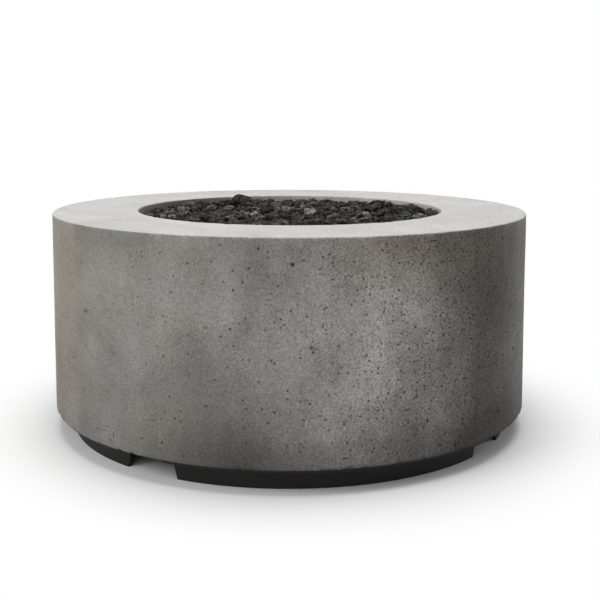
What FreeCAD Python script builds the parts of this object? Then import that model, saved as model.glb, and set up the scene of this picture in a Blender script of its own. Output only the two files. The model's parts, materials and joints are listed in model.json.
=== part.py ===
"""Gas fire bowl: a cast concrete drum with a ring burner under lava rock, on a vented steel base.

Millimetres, +Z up, origin on the floor under the middle of the bowl. Azimuths run from the front (-Y)
towards +X, and the vents in the base lie on the X and Y axes. The key valve is in the rear wall (+Y).
"""
import FreeCAD
import Part

import math
import os
import random

from FreeCAD import Placement, Rotation, Vector

# Concrete shell, one casting made upside down, so it widens towards the open foot
FOOT_DIAMETER = 965.0
SHELL_HEIGHT = 389.0
MOULD_DRAFT = 1.22
WALL_THICKNESS = 48.0
CORE_DRAFT = 0.6
SLAB_THICKNESS = 44.0
OPENING_DIAMETER = 615.0
LEDGE_DEPTH = 34.0
LEDGE_WIDTH = 30.0
LEDGE_THICKNESS = 26.0
COLLAR_WIDTH = 30.0
RIM_ROUND = 3.0
OPENING_ROUND = 3.0
FOOT_ROUND = 4.0
CORE_ROUND = 24.0
COLLAR_ROUND = 6.0

# Steel base, rolled angle in four arcs with vents between them
BASE_HEIGHT = 44.0
SKIRT_NAMES = ["front_right", "rear_right", "rear_left", "front_left"]
SKIRT_INSET = 36.5
SKIRT_THICKNESS = 6.0
SKIRT_ROOT_ROUND = 4.0
FLANGE_INSET = 8.5
VENT_WIDTH = 90.0
SKIRT_END_SLOPE = 15.0

# Bolts up through the base flange into inserts cast in the foot
BOLTS_PER_SKIRT = 3
BOLT_END_DISTANCE = 70.0
BOLT_DIAMETER = 8.0
BOLT_HEAD_WIDTH = 13.0
BOLT_HEAD_HEIGHT = 5.3
BOLT_GRIP = 26.0
BOLT_HOLE_CLEARANCE = 0.5
INSERT_DIAMETER = 14.0
INSERT_LENGTH = 32.0
INSERT_END_WALL = 3.0

# Drop-in burner pan, spun sheet
PAN_SHEET = 2.0
PAN_DEPTH = 46.0
PAN_FLANGE_CLEARANCE = 4.0
PAN_WALL_CLEARANCE = 3.0
PAN_CORNER_ROUND = 8.0
DRAIN_COUNT = 6
DRAIN_DIAMETER = 10.0
DRAIN_CIRCLE = 340.0

# Double ring burner
OUTER_RING_DIAMETER = 457.0
INNER_RING_DIAMETER = 229.0
RING_TUBE = 19.0
SPOKE_TUBE = 16.0
SPOKE_COUNT = 4
TUBE_WALL = 1.5
PORT_DIAMETER = 3.0
PORT_PITCH = 40.0
HUB_DIAMETER = 44.0
HUB_WALL = 4.0
HUB_DROP = 1.0

# Threaded pipe, elbow and orifice under the burner
PIPE_DIAMETER = 21.3
PIPE_BORE = 15.8
PIPE_HOLE_CLEARANCE = 0.4
THREAD_ENGAGEMENT = 13.0
PAN_NUT_WIDTH = 32.0
PAN_NUT_HEIGHT = 7.0
ELBOW_DIAMETER = 29.0
ELBOW_LEG = 26.0
ELBOW_GAP = 2.0
ORIFICE_LENGTH = 12.0
ORIFICE_SETBACK = 1.0
ORIFICE_DIAMETER = 3.2

# Bent gas line with flare fittings
FLARE_DIAMETER = 22.0
FLARE_BORE = 12.0
FLARE_LENGTH = 14.0
FLARE_NOSE = 3.5
FLARE_TIP_DIAMETER = 15.0
FLARE_NUT_WIDTH = 28.0
FLARE_NUT_TAIL = 8.0
FLARE_NUT_SETBACK = 1.0
LINE_DIAMETER = 15.9
LINE_BORE = 13.0
LINE_CLEARANCE = 0.3
LINE_LEAD = 12.0
LINE_FLARE_DIAMETER = 20.5
LINE_FLARE_LENGTH = 2.5
ADAPTER_HEX_WIDTH = 27.0
ADAPTER_HEX_HEIGHT = 9.0

# Key valve through the rear wall
VALVE_HEIGHT = 140.0
VALVE_HALF_HEIGHT = 36.0
VALVE_HEX_WIDTH = 34.0
VALVE_HEX_HEIGHT = 14.0
RISER_DIAMETER = 30.0
BARREL_DIAMETER = 34.0
BARREL_BACK = 18.0
BARREL_FRONT = 20.0
SHOULDER_DIAMETER = 38.0
SHOULDER_LENGTH = 6.0
NECK_DIAMETER = 28.0
NECK_CLEARANCE = 1.0
GAS_THREAD_DIAMETER = 18.2
GAS_THREAD_DEPTH = 16.0
FLOW_BORE = 9.0
PLUG_DIAMETER = 16.0
PLUG_LENGTH = 25.0
PLUG_END_CLEARANCE = 0.5
STEM_DIAMETER = 11.6
DRIVE_SQUARE = 7.9
DRIVE_LENGTH = 14.0
DRIVE_SETBACK = 3.0
GLAND_LENGTH = 8.0
INNER_SEAT_DEPTH = 2.0
WASHER_DIAMETER = 52.0
WASHER_THICKNESS = 2.0
NECK_NUT_WIDTH = 41.0
NECK_NUT_HEIGHT = 8.0
NECK_NUT_GAP = 2.0
RECESS_DEPTH = 8.0
RECESS_CLEARANCE = 2.0
ESCUTCHEON_DIAMETER = 70.0
ESCUTCHEON_RIM = 1.2
ESCUTCHEON_THICKNESS = 3.0
ESCUTCHEON_LAND = 46.0
BEZEL_NUT_WIDTH = 38.0
BEZEL_NUT_HEIGHT = 5.0
NECK_END_DROP = 0.5

# Lava rock, one bed level with the burner and one layer of loose stones on it
BED_CLEARANCE = 0.3
TRENCH_CLEARANCE = 0.5
ROCK_SPACING = 27.0
ROCK_JITTER = 5.5
ROCK_GAP = 0.5
ROCK_SEAT_GAP = 0.3
ROCK_WALL_CLEARANCE = 1.5
ROCK_FILL_DROP = 3.5
ROCK_LEAST_RADIUS = 11.5
ROCK_MOST_RADIUS = 17.0
ROCK_LIFT_SHARES = (0.45, 0.95)
ROCK_FACETS = 6
FACET_STEEPEST = 80.0
FACET_RISE_RANGE = 115.0
FACET_RISE_SHAKE = 9.0
FACET_TURN_SHAKE = 0.3
FACET_REACH_SHARES = (0.78, 1.08)
NEIGHBOUR_REACH = 2.5 * ROCK_MOST_RADIUS
WALL_FACETS = 5
WALL_FACET_STEP = 4.0
LEAST_ROCK_EDGE = 1.0
LEAST_ROCK_VOLUME = ROCK_LEAST_RADIUS ** 3 / 4
TRIM_STEP = 0.5
TRIM_TRIES = 12
PROUD_ROCK_RADIUS = 225.0
PROUD_ROCK_AZIMUTH = 242.0
PROUD_ROCK_RISE = 12.0
ROCK_SEED = 11

# Fits
RUNNING_CLEARANCE = 0.05
THREAD_CLEARANCE = 0.05

# Heights and radii that follow from the sizes above
FOOT_Z = BASE_HEIGHT
RIM_Z = FOOT_Z + SHELL_HEIGHT
LEDGE_Z = RIM_Z - LEDGE_DEPTH
COLLAR_Z = LEDGE_Z - LEDGE_THICKNESS
SLAB_Z = RIM_Z - SLAB_THICKNESS
FOOT_RADIUS = FOOT_DIAMETER / 2
OPENING_RADIUS = OPENING_DIAMETER / 2
LEDGE_RADIUS = OPENING_RADIUS - LEDGE_WIDTH
COLLAR_RADIUS = OPENING_RADIUS + COLLAR_WIDTH
SKIRT_RADIUS = FOOT_RADIUS - SKIRT_INSET
FLANGE_RADIUS = FOOT_RADIUS - FLANGE_INSET
BOLT_CIRCLE_RADIUS = (SKIRT_RADIUS + FLANGE_RADIUS) / 2
FLANGE_UNDERSIDE_Z = BASE_HEIGHT - SKIRT_THICKNESS
PAN_RADIUS = LEDGE_RADIUS - PAN_WALL_CLEARANCE
PAN_INNER_RADIUS = PAN_RADIUS - PAN_SHEET
PAN_UNDERSIDE_Z = LEDGE_Z - PAN_DEPTH
PAN_FLOOR_Z = PAN_UNDERSIDE_Z + PAN_SHEET
BED_TOP_Z = LEDGE_Z + PAN_SHEET
TUBE_Z = BED_TOP_Z - RING_TUBE / 2
HUB_TOP_Z = BED_TOP_Z - HUB_DROP
NIPPLE_TOP_Z = PAN_FLOOR_Z + THREAD_ENGAGEMENT
ELBOW_TOP_Z = PAN_UNDERSIDE_Z - PAN_NUT_HEIGHT - ELBOW_GAP
ELBOW_Z = ELBOW_TOP_Z - ELBOW_LEG
NIPPLE_BOTTOM_Z = ELBOW_TOP_Z - THREAD_ENGAGEMENT
PLUG_BORE = PLUG_DIAMETER + 2 * RUNNING_CLEARANCE

UP = Vector(0, 0, 1)
REAR = Vector(0, 1, 0)
SIDE = Vector(1, 0, 0)
GOLDEN_TURN = 180.0 * (3 - math.sqrt(5))


def outer_radius(z):
    """Radius of the shell's outer face at a height."""
    return FOOT_RADIUS - (z - FOOT_Z) * math.tan(math.radians(MOULD_DRAFT))


def core_radius(z):
    """Radius of the shell's inner face at a height."""
    return FOOT_RADIUS - WALL_THICKNESS - (z - FOOT_Z) * math.tan(math.radians(CORE_DRAFT))


# Places along the valve's axis, from the wall's two seats
INNER_SEAT_Y = core_radius(VALVE_HEIGHT) + INNER_SEAT_DEPTH
NECK_NUT_Y = INNER_SEAT_Y - WASHER_THICKNESS - NECK_NUT_HEIGHT
SHOULDER_END_Y = NECK_NUT_Y - NECK_NUT_GAP
BARREL_END_Y = SHOULDER_END_Y - SHOULDER_LENGTH
VALVE_Y = BARREL_END_Y - BARREL_FRONT
RECESS_Y = outer_radius(VALVE_HEIGHT) - RECESS_DEPTH
BEZEL_NUT_Y = RECESS_Y + ESCUTCHEON_THICKNESS
NECK_END_Y = BEZEL_NUT_Y + BEZEL_NUT_HEIGHT - NECK_END_DROP
PLUG_END_Y = VALVE_Y + PLUG_LENGTH / 2
SEAL_SECTION = (PLUG_DIAMETER - STEM_DIAMETER) / 2
GLAND_Y = PLUG_END_Y + SEAL_SECTION + 2 * RUNNING_CLEARANCE
VALVE_TOP_Z = VALVE_HEIGHT + VALVE_HALF_HEIGHT
ADAPTER_FLARE_Z = VALVE_TOP_Z + ADAPTER_HEX_HEIGHT
FITTING_REACH = FLARE_LENGTH + FLARE_NOSE


def polar(azimuth, radius, z):
    """Point at an azimuth in degrees from the front."""
    turn = math.radians(azimuth)
    return Vector(radius * math.sin(turn), -radius * math.cos(turn), z)


def placed(shape, position, direction):
    """Shape made along +Z at the origin, moved to a place and turned to a direction."""
    shape.Placement = Placement(position, Rotation(UP, direction))
    return shape


def cylinder(diameter, length, position=Vector(), direction=UP):
    return Part.makeCylinder(diameter / 2, length, position, direction)


def tube(diameter, bore, length, position=Vector(), direction=UP):
    return cylinder(diameter, length, position, direction).cut(cylinder(bore, length, position, direction))


def hexagon(width, length, position=Vector(), direction=UP):
    """Hexagonal bar, by its width across flats."""
    corner = width / math.sqrt(3)
    turns = [k * math.pi / 3 for k in range(7)]
    points = [Vector(corner * math.cos(turn), corner * math.sin(turn), 0) for turn in turns]
    bar = Part.Face(Part.makePolygon(points)).extrude(Vector(0, 0, length))
    return placed(bar, position, direction)


def hex_nut(width, bore, length, position, direction):
    """Nut with its corners chamfered at both ends."""
    corner = width / math.sqrt(3)
    chamfer = (corner - width / 2) / 2
    turned = revolve([
        (0, 0), (corner - chamfer, 0), (corner, chamfer),
        (corner, length - chamfer), (corner - chamfer, length), (0, length),
    ])
    nut = hexagon(width, length).common(turned).cut(cylinder(bore, length))
    return placed(nut, position, direction)


def revolve(profile, angle=360.0):
    """Solid of revolution about Z from (radius, height) points."""
    points = [Vector(radius, 0, height) for radius, height in profile]
    face = Part.Face(Part.makePolygon(points + points[:1]))
    return face.revolve(Vector(), UP, angle)


def round_ring(solid, size, radius, z):
    """Rounds the edge that runs round the Z axis at a radius and height."""
    close = 0.01
    rings = []
    for edge in solid.Edges:
        curve = edge.Curve
        if isinstance(curve, Part.Circle) and abs(curve.Radius - radius) < close:
            if abs(curve.Center.z - z) < close:
                rings.append(edge)
    return solid.makeFillet(size, rings)


def skirt_turn():
    """Angle from one skirt to the next."""
    return 360.0 / len(SKIRT_NAMES)


def skirt_span():
    """Angle that one skirt covers at its top."""
    return skirt_turn() - 2 * math.degrees(math.asin(VENT_WIDTH / 2 / SKIRT_RADIUS))


def skirt_centre(index):
    return skirt_turn() * (index + 0.5)


def bolt_azimuths(index):
    """Azimuths of one skirt's bolts."""
    reach = skirt_span() / 2 - math.degrees(BOLT_END_DISTANCE / BOLT_CIRCLE_RADIUS)
    step = 2 * reach / (BOLTS_PER_SKIRT - 1)
    return [skirt_centre(index) - reach + step * k for k in range(BOLTS_PER_SKIRT)]


def bolt_places(z):
    """Points on the bolt circle at a height."""
    places = []
    for index in range(len(SKIRT_NAMES)):
        places += [polar(azimuth, BOLT_CIRCLE_RADIUS, z) for azimuth in bolt_azimuths(index)]
    return places


def concrete_shell():
    shell = revolve([
        (outer_radius(FOOT_Z), FOOT_Z),
        (outer_radius(RIM_Z), RIM_Z),
        (OPENING_RADIUS, RIM_Z),
        (OPENING_RADIUS, LEDGE_Z),
        (LEDGE_RADIUS, LEDGE_Z),
        (LEDGE_RADIUS, COLLAR_Z),
        (COLLAR_RADIUS, COLLAR_Z),
        (COLLAR_RADIUS, SLAB_Z),
        (core_radius(SLAB_Z), SLAB_Z),
        (core_radius(FOOT_Z), FOOT_Z),
    ])
    shell = round_ring(shell, RIM_ROUND, outer_radius(RIM_Z), RIM_Z)
    shell = round_ring(shell, OPENING_ROUND, OPENING_RADIUS, RIM_Z)
    shell = round_ring(shell, FOOT_ROUND, outer_radius(FOOT_Z), FOOT_Z)
    shell = round_ring(shell, CORE_ROUND, core_radius(SLAB_Z), SLAB_Z)
    shell = round_ring(shell, COLLAR_ROUND, COLLAR_RADIUS, COLLAR_Z)
    valve_axis = Vector(0, 0, VALVE_HEIGHT)
    recess = cylinder(
        ESCUTCHEON_DIAMETER + 2 * RECESS_CLEARANCE, WALL_THICKNESS, valve_axis + REAR * RECESS_Y, REAR)
    seat = cylinder(
        WASHER_DIAMETER + 2 * RECESS_CLEARANCE, WALL_THICKNESS, valve_axis + REAR * INNER_SEAT_Y, -REAR)
    passage = cylinder(
        NECK_DIAMETER + 2 * NECK_CLEARANCE, 2 * WALL_THICKNESS, valve_axis + REAR * NECK_NUT_Y, REAR)
    insert_holes = [
        cylinder(INSERT_DIAMETER + 2 * THREAD_CLEARANCE, INSERT_LENGTH + THREAD_CLEARANCE, place)
        for place in bolt_places(FOOT_Z)
    ]
    return shell.cut([recess, seat, passage] + insert_holes)


def sloped_end(azimuth, side):
    """Wedge that slopes a skirt's end inwards towards the floor. Side is 1 at the far end, -1 at the near."""
    spare = SKIRT_THICKNESS
    run = math.tan(math.radians(SKIRT_END_SLOPE))
    outline = [
        (spare, BASE_HEIGHT), (0, BASE_HEIGHT), (-(BASE_HEIGHT + spare) * run, -spare), (spare, -spare),
    ]
    along = polar(azimuth + 90, side, 0)
    outward = polar(azimuth, 1, 0)
    start = outward * (SKIRT_RADIUS - SKIRT_THICKNESS - spare)
    points = [start + along * distance + UP * z for distance, z in outline]
    face = Part.Face(Part.makePolygon(points + points[:1]))
    return face.extrude(outward * (FLANGE_RADIUS - SKIRT_RADIUS + SKIRT_THICKNESS + 2 * spare))


def base_skirt(index):
    span = skirt_span()
    skirt = revolve([
        (SKIRT_RADIUS - SKIRT_THICKNESS, 0),
        (SKIRT_RADIUS, 0),
        (SKIRT_RADIUS, FLANGE_UNDERSIDE_Z),
        (FLANGE_RADIUS, FLANGE_UNDERSIDE_Z),
        (FLANGE_RADIUS, BASE_HEIGHT),
        (SKIRT_RADIUS - SKIRT_THICKNESS, BASE_HEIGHT),
    ], span)
    skirt = round_ring(skirt, SKIRT_ROOT_ROUND, SKIRT_RADIUS, FLANGE_UNDERSIDE_Z)
    near_end = skirt_centre(index) - span / 2
    profile_azimuth = 90.0
    skirt.rotate(Vector(), UP, near_end - profile_azimuth)
    holes = [
        cylinder(BOLT_DIAMETER + 2 * BOLT_HOLE_CLEARANCE, SKIRT_THICKNESS,
                 polar(azimuth, BOLT_CIRCLE_RADIUS, FLANGE_UNDERSIDE_Z))
        for azimuth in bolt_azimuths(index)
    ]
    return skirt.cut([sloped_end(near_end, -1), sloped_end(near_end + span, 1)] + holes)


def base_bolts():
    bolts = []
    for place in bolt_places(FLANGE_UNDERSIDE_Z):
        shank = cylinder(BOLT_DIAMETER, SKIRT_THICKNESS + BOLT_GRIP)
        head = hexagon(BOLT_HEAD_WIDTH, BOLT_HEAD_HEIGHT, Vector(0, 0, -BOLT_HEAD_HEIGHT))
        bolts.append(placed(shank.fuse(head), place, UP))
    return Part.makeCompound(bolts)


def base_inserts():
    """Blind threaded sleeves cast into the foot."""
    inserts = []
    for place in bolt_places(FOOT_Z):
        bore = cylinder(BOLT_DIAMETER + 2 * THREAD_CLEARANCE, INSERT_LENGTH - INSERT_END_WALL)
        inserts.append(placed(cylinder(INSERT_DIAMETER, INSERT_LENGTH).cut(bore), place, UP))
    return Part.makeCompound(inserts)


def burner_pan():
    flange_radius = OPENING_RADIUS - PAN_FLANGE_CLEARANCE
    pan = revolve([
        (0, PAN_UNDERSIDE_Z),
        (PAN_RADIUS, PAN_UNDERSIDE_Z),
        (PAN_RADIUS, LEDGE_Z),
        (flange_radius, LEDGE_Z),
        (flange_radius, BED_TOP_Z),
        (PAN_INNER_RADIUS, BED_TOP_Z),
        (PAN_INNER_RADIUS, PAN_FLOOR_Z),
        (0, PAN_FLOOR_Z),
    ])
    pan = round_ring(pan, PAN_CORNER_ROUND, PAN_RADIUS, PAN_UNDERSIDE_Z)
    pan = round_ring(pan, PAN_CORNER_ROUND - PAN_SHEET, PAN_INNER_RADIUS, PAN_FLOOR_Z)
    under = Vector(0, 0, PAN_UNDERSIDE_Z)
    holes = [cylinder(PIPE_DIAMETER + 2 * PIPE_HOLE_CLEARANCE, PAN_SHEET, under)]
    for k in range(DRAIN_COUNT):
        place = polar(360.0 * (k + 0.5) / DRAIN_COUNT, DRAIN_CIRCLE / 2, PAN_UNDERSIDE_Z)
        holes.append(cylinder(DRAIN_DIAMETER, PAN_SHEET, place))
    return pan.cut(holes)


def burner_form(shrink, hub_diameter, hub_bottom, hub_top):
    """Rings, spokes and hub joined, with every tube thinner by twice the shrink."""
    middle = Vector(0, 0, TUBE_Z)
    form = cylinder(hub_diameter, hub_top - hub_bottom, Vector(0, 0, hub_bottom))
    limbs = [
        Part.makeTorus(diameter / 2, RING_TUBE / 2 - shrink, middle, UP)
        for diameter in (OUTER_RING_DIAMETER, INNER_RING_DIAMETER)
    ]
    for k in range(SPOKE_COUNT):
        outward = polar(360.0 * k / SPOKE_COUNT, 1, 0)
        limbs.append(cylinder(SPOKE_TUBE - 2 * shrink, OUTER_RING_DIAMETER / 2, middle, outward))
    return form.fuse(limbs)


def gas_ports():
    """Upward drillings along both rings, clear of the spokes."""
    ports = []
    for diameter in (OUTER_RING_DIAMETER, INNER_RING_DIAMETER):
        count = SPOKE_COUNT * round(math.pi * diameter / PORT_PITCH / SPOKE_COUNT)
        for k in range(count):
            place = polar(360.0 * (k + 0.5) / count, diameter / 2, TUBE_Z)
            ports.append(cylinder(PORT_DIAMETER, RING_TUBE, place))
    return ports


def ring_burner():
    outside = burner_form(0, HUB_DIAMETER, PAN_FLOOR_Z, HUB_TOP_Z)
    inside = burner_form(TUBE_WALL, HUB_DIAMETER - 2 * HUB_WALL, NIPPLE_TOP_Z, HUB_TOP_Z - HUB_WALL)
    socket = cylinder(PIPE_DIAMETER + 2 * THREAD_CLEARANCE, THREAD_ENGAGEMENT, Vector(0, 0, PAN_FLOOR_Z))
    return outside.cut([inside, socket] + gas_ports())


def burner_nipple():
    return tube(PIPE_DIAMETER, PIPE_BORE, NIPPLE_TOP_Z - NIPPLE_BOTTOM_Z, Vector(0, 0, NIPPLE_BOTTOM_Z))


def gas_orifice():
    start = Vector(0, 0, NIPPLE_BOTTOM_Z + ORIFICE_SETBACK)
    return tube(PIPE_BORE - 2 * THREAD_CLEARANCE, ORIFICE_DIAMETER, ORIFICE_LENGTH, start)


def pan_locknut():
    return hex_nut(
        PAN_NUT_WIDTH, PIPE_DIAMETER + 2 * THREAD_CLEARANCE, PAN_NUT_HEIGHT,
        Vector(0, 0, PAN_UNDERSIDE_Z - PAN_NUT_HEIGHT), UP)


def flare_end():
    """Male flare fitting along +Z: thread, then a cone that the gas line seats on."""
    return revolve([
        (0, 0), (FLARE_DIAMETER / 2, 0), (FLARE_DIAMETER / 2, FLARE_LENGTH),
        (FLARE_TIP_DIAMETER / 2, FITTING_REACH), (0, FITTING_REACH),
    ])


def inlet_elbow():
    corner = Vector(0, 0, ELBOW_Z)
    outlet = corner + REAR * ELBOW_LEG
    elbow = Part.makeSphere(ELBOW_DIAMETER / 2, corner).fuse([
        cylinder(ELBOW_DIAMETER, ELBOW_LEG, corner),
        cylinder(ELBOW_DIAMETER, ELBOW_LEG, corner, REAR),
        placed(flare_end(), outlet, REAR),
    ])
    return elbow.cut([
        cylinder(PIPE_DIAMETER + 2 * THREAD_CLEARANCE, THREAD_ENGAGEMENT, Vector(0, 0, NIPPLE_BOTTOM_Z)),
        cylinder(FLARE_BORE, ELBOW_LEG, corner),
        cylinder(FLARE_BORE, ELBOW_LEG + FITTING_REACH, corner, REAR),
        Part.makeSphere(FLARE_BORE / 2, corner),
    ])


def outlet_adapter():
    stub_diameter = GAS_THREAD_DIAMETER - 2 * THREAD_CLEARANCE
    stub = cylinder(stub_diameter, GAS_THREAD_DEPTH, Vector(0, 0, -GAS_THREAD_DEPTH))
    collar = hexagon(ADAPTER_HEX_WIDTH, ADAPTER_HEX_HEIGHT)
    flare = placed(flare_end(), Vector(0, 0, ADAPTER_HEX_HEIGHT), UP)
    length = GAS_THREAD_DEPTH + ADAPTER_HEX_HEIGHT + FITTING_REACH
    bore = cylinder(FLARE_BORE, length, Vector(0, 0, -GAS_THREAD_DEPTH))
    return placed(collar.fuse([stub, flare]).cut(bore), Vector(0, VALVE_Y, VALVE_TOP_Z), UP)


def line_path():
    """Up from the valve, round a quarter turn and level to the burner's elbow."""
    start = Vector(0, VALVE_Y, ADAPTER_FLARE_Z + FITTING_REACH)
    end = Vector(0, ELBOW_LEG + FITTING_REACH, ELBOW_Z)
    bend = end.z - start.z - LINE_LEAD
    bend_start = start + UP * LINE_LEAD
    bend_end = Vector(0, VALVE_Y - bend, end.z)
    centre = bend_start - REAR * bend
    bend_middle = centre + (REAR + UP) * (bend / math.sqrt(2))
    return start, bend_start, bend_middle, bend_end, end


def line_sweep(diameter):
    start, bend_start, bend_middle, bend_end, end = line_path()
    path = Part.Wire([
        Part.makeLine(start, bend_start),
        Part.Arc(bend_start, bend_middle, bend_end).toShape(),
        Part.makeLine(bend_end, end),
    ])
    section = Part.Wire([Part.makeCircle(diameter / 2, start, UP)])
    return path.makePipeShell([section], True, False)


def gas_line():
    start, _, _, _, end = line_path()
    line = line_sweep(LINE_DIAMETER).fuse([
        cylinder(LINE_FLARE_DIAMETER, LINE_FLARE_LENGTH, start, UP),
        cylinder(LINE_FLARE_DIAMETER, LINE_FLARE_LENGTH, end, REAR),
    ])
    return line.cut(line_sweep(LINE_BORE))


def flare_nut(position, direction):
    seat = FITTING_REACH + LINE_FLARE_LENGTH - FLARE_NUT_SETBACK + LINE_CLEARANCE
    length = seat + FLARE_NUT_TAIL
    nut = hex_nut(FLARE_NUT_WIDTH, LINE_DIAMETER + 2 * LINE_CLEARANCE, length, Vector(), UP)
    thread = cylinder(FLARE_DIAMETER + 2 * THREAD_CLEARANCE, seat)
    return placed(nut.cut(thread), position + direction * FLARE_NUT_SETBACK, direction)


def flare_nuts():
    at_valve = flare_nut(Vector(0, VALVE_Y, ADAPTER_FLARE_Z), UP)
    at_burner = flare_nut(Vector(0, ELBOW_LEG, ELBOW_Z), REAR)
    return Part.makeCompound([at_valve, at_burner])


def valve_body():
    middle = Vector(0, VALVE_Y, VALVE_HEIGHT)
    bottom = middle - UP * VALVE_HALF_HEIGHT
    top = middle + UP * VALVE_HALF_HEIGHT
    neck_start = Vector(0, BARREL_END_Y, VALVE_HEIGHT)
    body = cylinder(BARREL_DIAMETER, BARREL_BACK + BARREL_FRONT, middle - REAR * BARREL_BACK, REAR)
    body = body.fuse([
        cylinder(RISER_DIAMETER, 2 * VALVE_HALF_HEIGHT, bottom),
        hexagon(VALVE_HEX_WIDTH, VALVE_HEX_HEIGHT, bottom),
        hexagon(VALVE_HEX_WIDTH, VALVE_HEX_HEIGHT, top - UP * VALVE_HEX_HEIGHT),
        cylinder(SHOULDER_DIAMETER, SHOULDER_LENGTH, neck_start, REAR),
        cylinder(NECK_DIAMETER, NECK_END_Y - BARREL_END_Y, neck_start, REAR),
    ])
    bore_start = middle - REAR * (PLUG_LENGTH / 2 + PLUG_END_CLEARANCE)
    return body.cut([
        cylinder(PLUG_BORE, NECK_END_Y - bore_start.y, bore_start, REAR),
        cylinder(FLOW_BORE, 2 * VALVE_HALF_HEIGHT, bottom),
        cylinder(GAS_THREAD_DIAMETER, GAS_THREAD_DEPTH, bottom),
        cylinder(GAS_THREAD_DIAMETER, GAS_THREAD_DEPTH, top, -UP),
    ])


def valve_plug():
    """Quarter-turn plug, shut: its cross bore lies along X, square to the gas way."""
    middle = Vector(0, VALVE_Y, VALVE_HEIGHT)
    start = middle - REAR * (PLUG_LENGTH / 2)
    stem_start = Vector(0, PLUG_END_Y, VALVE_HEIGHT)
    drive_end_y = NECK_END_Y - DRIVE_SETBACK
    drive_start_y = drive_end_y - DRIVE_LENGTH
    half = DRIVE_SQUARE / 2
    drive = Part.makeBox(
        DRIVE_SQUARE, DRIVE_LENGTH, DRIVE_SQUARE, Vector(-half, drive_start_y, VALVE_HEIGHT - half))
    plug = cylinder(PLUG_DIAMETER, PLUG_LENGTH, start, REAR).fuse([
        cylinder(STEM_DIAMETER, drive_start_y - PLUG_END_Y, stem_start, REAR),
        drive,
    ])
    cross_bore = cylinder(FLOW_BORE, PLUG_DIAMETER, middle - SIDE * (PLUG_DIAMETER / 2), SIDE)
    return plug.cut(cross_bore)


def stem_seal():
    middle = Vector(0, PLUG_END_Y + RUNNING_CLEARANCE + SEAL_SECTION / 2, VALVE_HEIGHT)
    ring_radius = (STEM_DIAMETER + SEAL_SECTION) / 2 + RUNNING_CLEARANCE / 2
    return Part.makeTorus(ring_radius, SEAL_SECTION / 2 - RUNNING_CLEARANCE / 2, middle, REAR)


def gland_bush():
    return tube(
        PLUG_BORE - 2 * THREAD_CLEARANCE, STEM_DIAMETER + 2 * RUNNING_CLEARANCE, GLAND_LENGTH,
        Vector(0, GLAND_Y, VALVE_HEIGHT), REAR)


def wall_washer():
    return tube(
        WASHER_DIAMETER, NECK_DIAMETER + 2 * THREAD_CLEARANCE, WASHER_THICKNESS,
        Vector(0, INNER_SEAT_Y, VALVE_HEIGHT), -REAR)


def neck_locknut():
    return hex_nut(
        NECK_NUT_WIDTH, NECK_DIAMETER + 2 * THREAD_CLEARANCE, NECK_NUT_HEIGHT,
        Vector(0, NECK_NUT_Y, VALVE_HEIGHT), REAR)


def escutcheon():
    """Dished plate that covers the hole in the wall's outer recess."""
    inner = NECK_DIAMETER / 2 + THREAD_CLEARANCE
    plate = revolve([
        (inner, 0), (ESCUTCHEON_DIAMETER / 2, 0), (ESCUTCHEON_DIAMETER / 2, ESCUTCHEON_RIM),
        (ESCUTCHEON_LAND / 2, ESCUTCHEON_THICKNESS), (inner, ESCUTCHEON_THICKNESS),
    ])
    return placed(plate, Vector(0, RECESS_Y, VALVE_HEIGHT), REAR)


def bezel_nut():
    return hex_nut(
        BEZEL_NUT_WIDTH, NECK_DIAMETER + 2 * THREAD_CLEARANCE, BEZEL_NUT_HEIGHT,
        Vector(0, BEZEL_NUT_Y, VALVE_HEIGHT), REAR)


def lava_bed():
    """Lower lava rock as one mass, level with the pan's flange, with trenches that the burner lies in."""
    radius = PAN_INNER_RADIUS - BED_CLEARANCE
    height = BED_TOP_Z - PAN_FLOOR_Z
    bed = cylinder(2 * radius, height, Vector(0, 0, PAN_FLOOR_Z))
    bed = round_ring(bed, PAN_CORNER_ROUND - PAN_SHEET + BED_CLEARANCE, radius, PAN_FLOOR_Z)
    trench_z = BED_TOP_Z - RING_TUBE - TRENCH_CLEARANCE
    trench_height = RING_TUBE + TRENCH_CLEARANCE
    cuts = [cylinder(HUB_DIAMETER + 2 * TRENCH_CLEARANCE, height, Vector(0, 0, PAN_FLOOR_Z))]
    for diameter in (OUTER_RING_DIAMETER, INNER_RING_DIAMETER):
        width = RING_TUBE + 2 * TRENCH_CLEARANCE
        cuts.append(tube(diameter + width, diameter - width, trench_height, Vector(0, 0, trench_z)))
    half = SPOKE_TUBE / 2 + TRENCH_CLEARANCE
    for k in range(SPOKE_COUNT):
        slot = Part.makeBox(OUTER_RING_DIAMETER / 2, 2 * half, trench_height, Vector(0, -half, trench_z))
        slot.rotate(Vector(), UP, 360.0 * k / SPOKE_COUNT)
        cuts.append(slot)
    return bed.cut(cuts)


def clip(faces, normal, offset):
    """The part of a convex solid, given as polygons, on the near side of a plane."""
    kept = []
    rim = {}
    for face in faces:
        heights = [point.dot(normal) - offset for point in face]
        polygon = []
        for k, point in enumerate(face):
            before, before_height = face[k - 1], heights[k - 1]
            height = heights[k]
            if (height > 0) != (before_height > 0):
                inner, outer = (before, point) if height > 0 else (point, before)
                inner_height, outer_height = min(height, before_height), max(height, before_height)
                share = -inner_height / (outer_height - inner_height)
                crossing = inner + (outer - inner) * share
                polygon.append(crossing)
                rim[tuple(round(value, 6) for value in crossing)] = crossing
            if height <= 0:
                polygon.append(point)
        if len(polygon) > 2:
            kept.append(polygon)
    if len(rim) > 2:
        kept.append(ring_order(list(rim.values()), normal))
    return kept


def ring_order(points, normal):
    """Points of a convex polygon in order round its middle."""
    middle = sum(points, Vector()) * (1.0 / len(points))
    across = points[0] - middle
    along = normal.cross(across)

    def turn(point):
        return math.atan2((point - middle).dot(along), (point - middle).dot(across))

    return sorted(points, key=turn)


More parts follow.
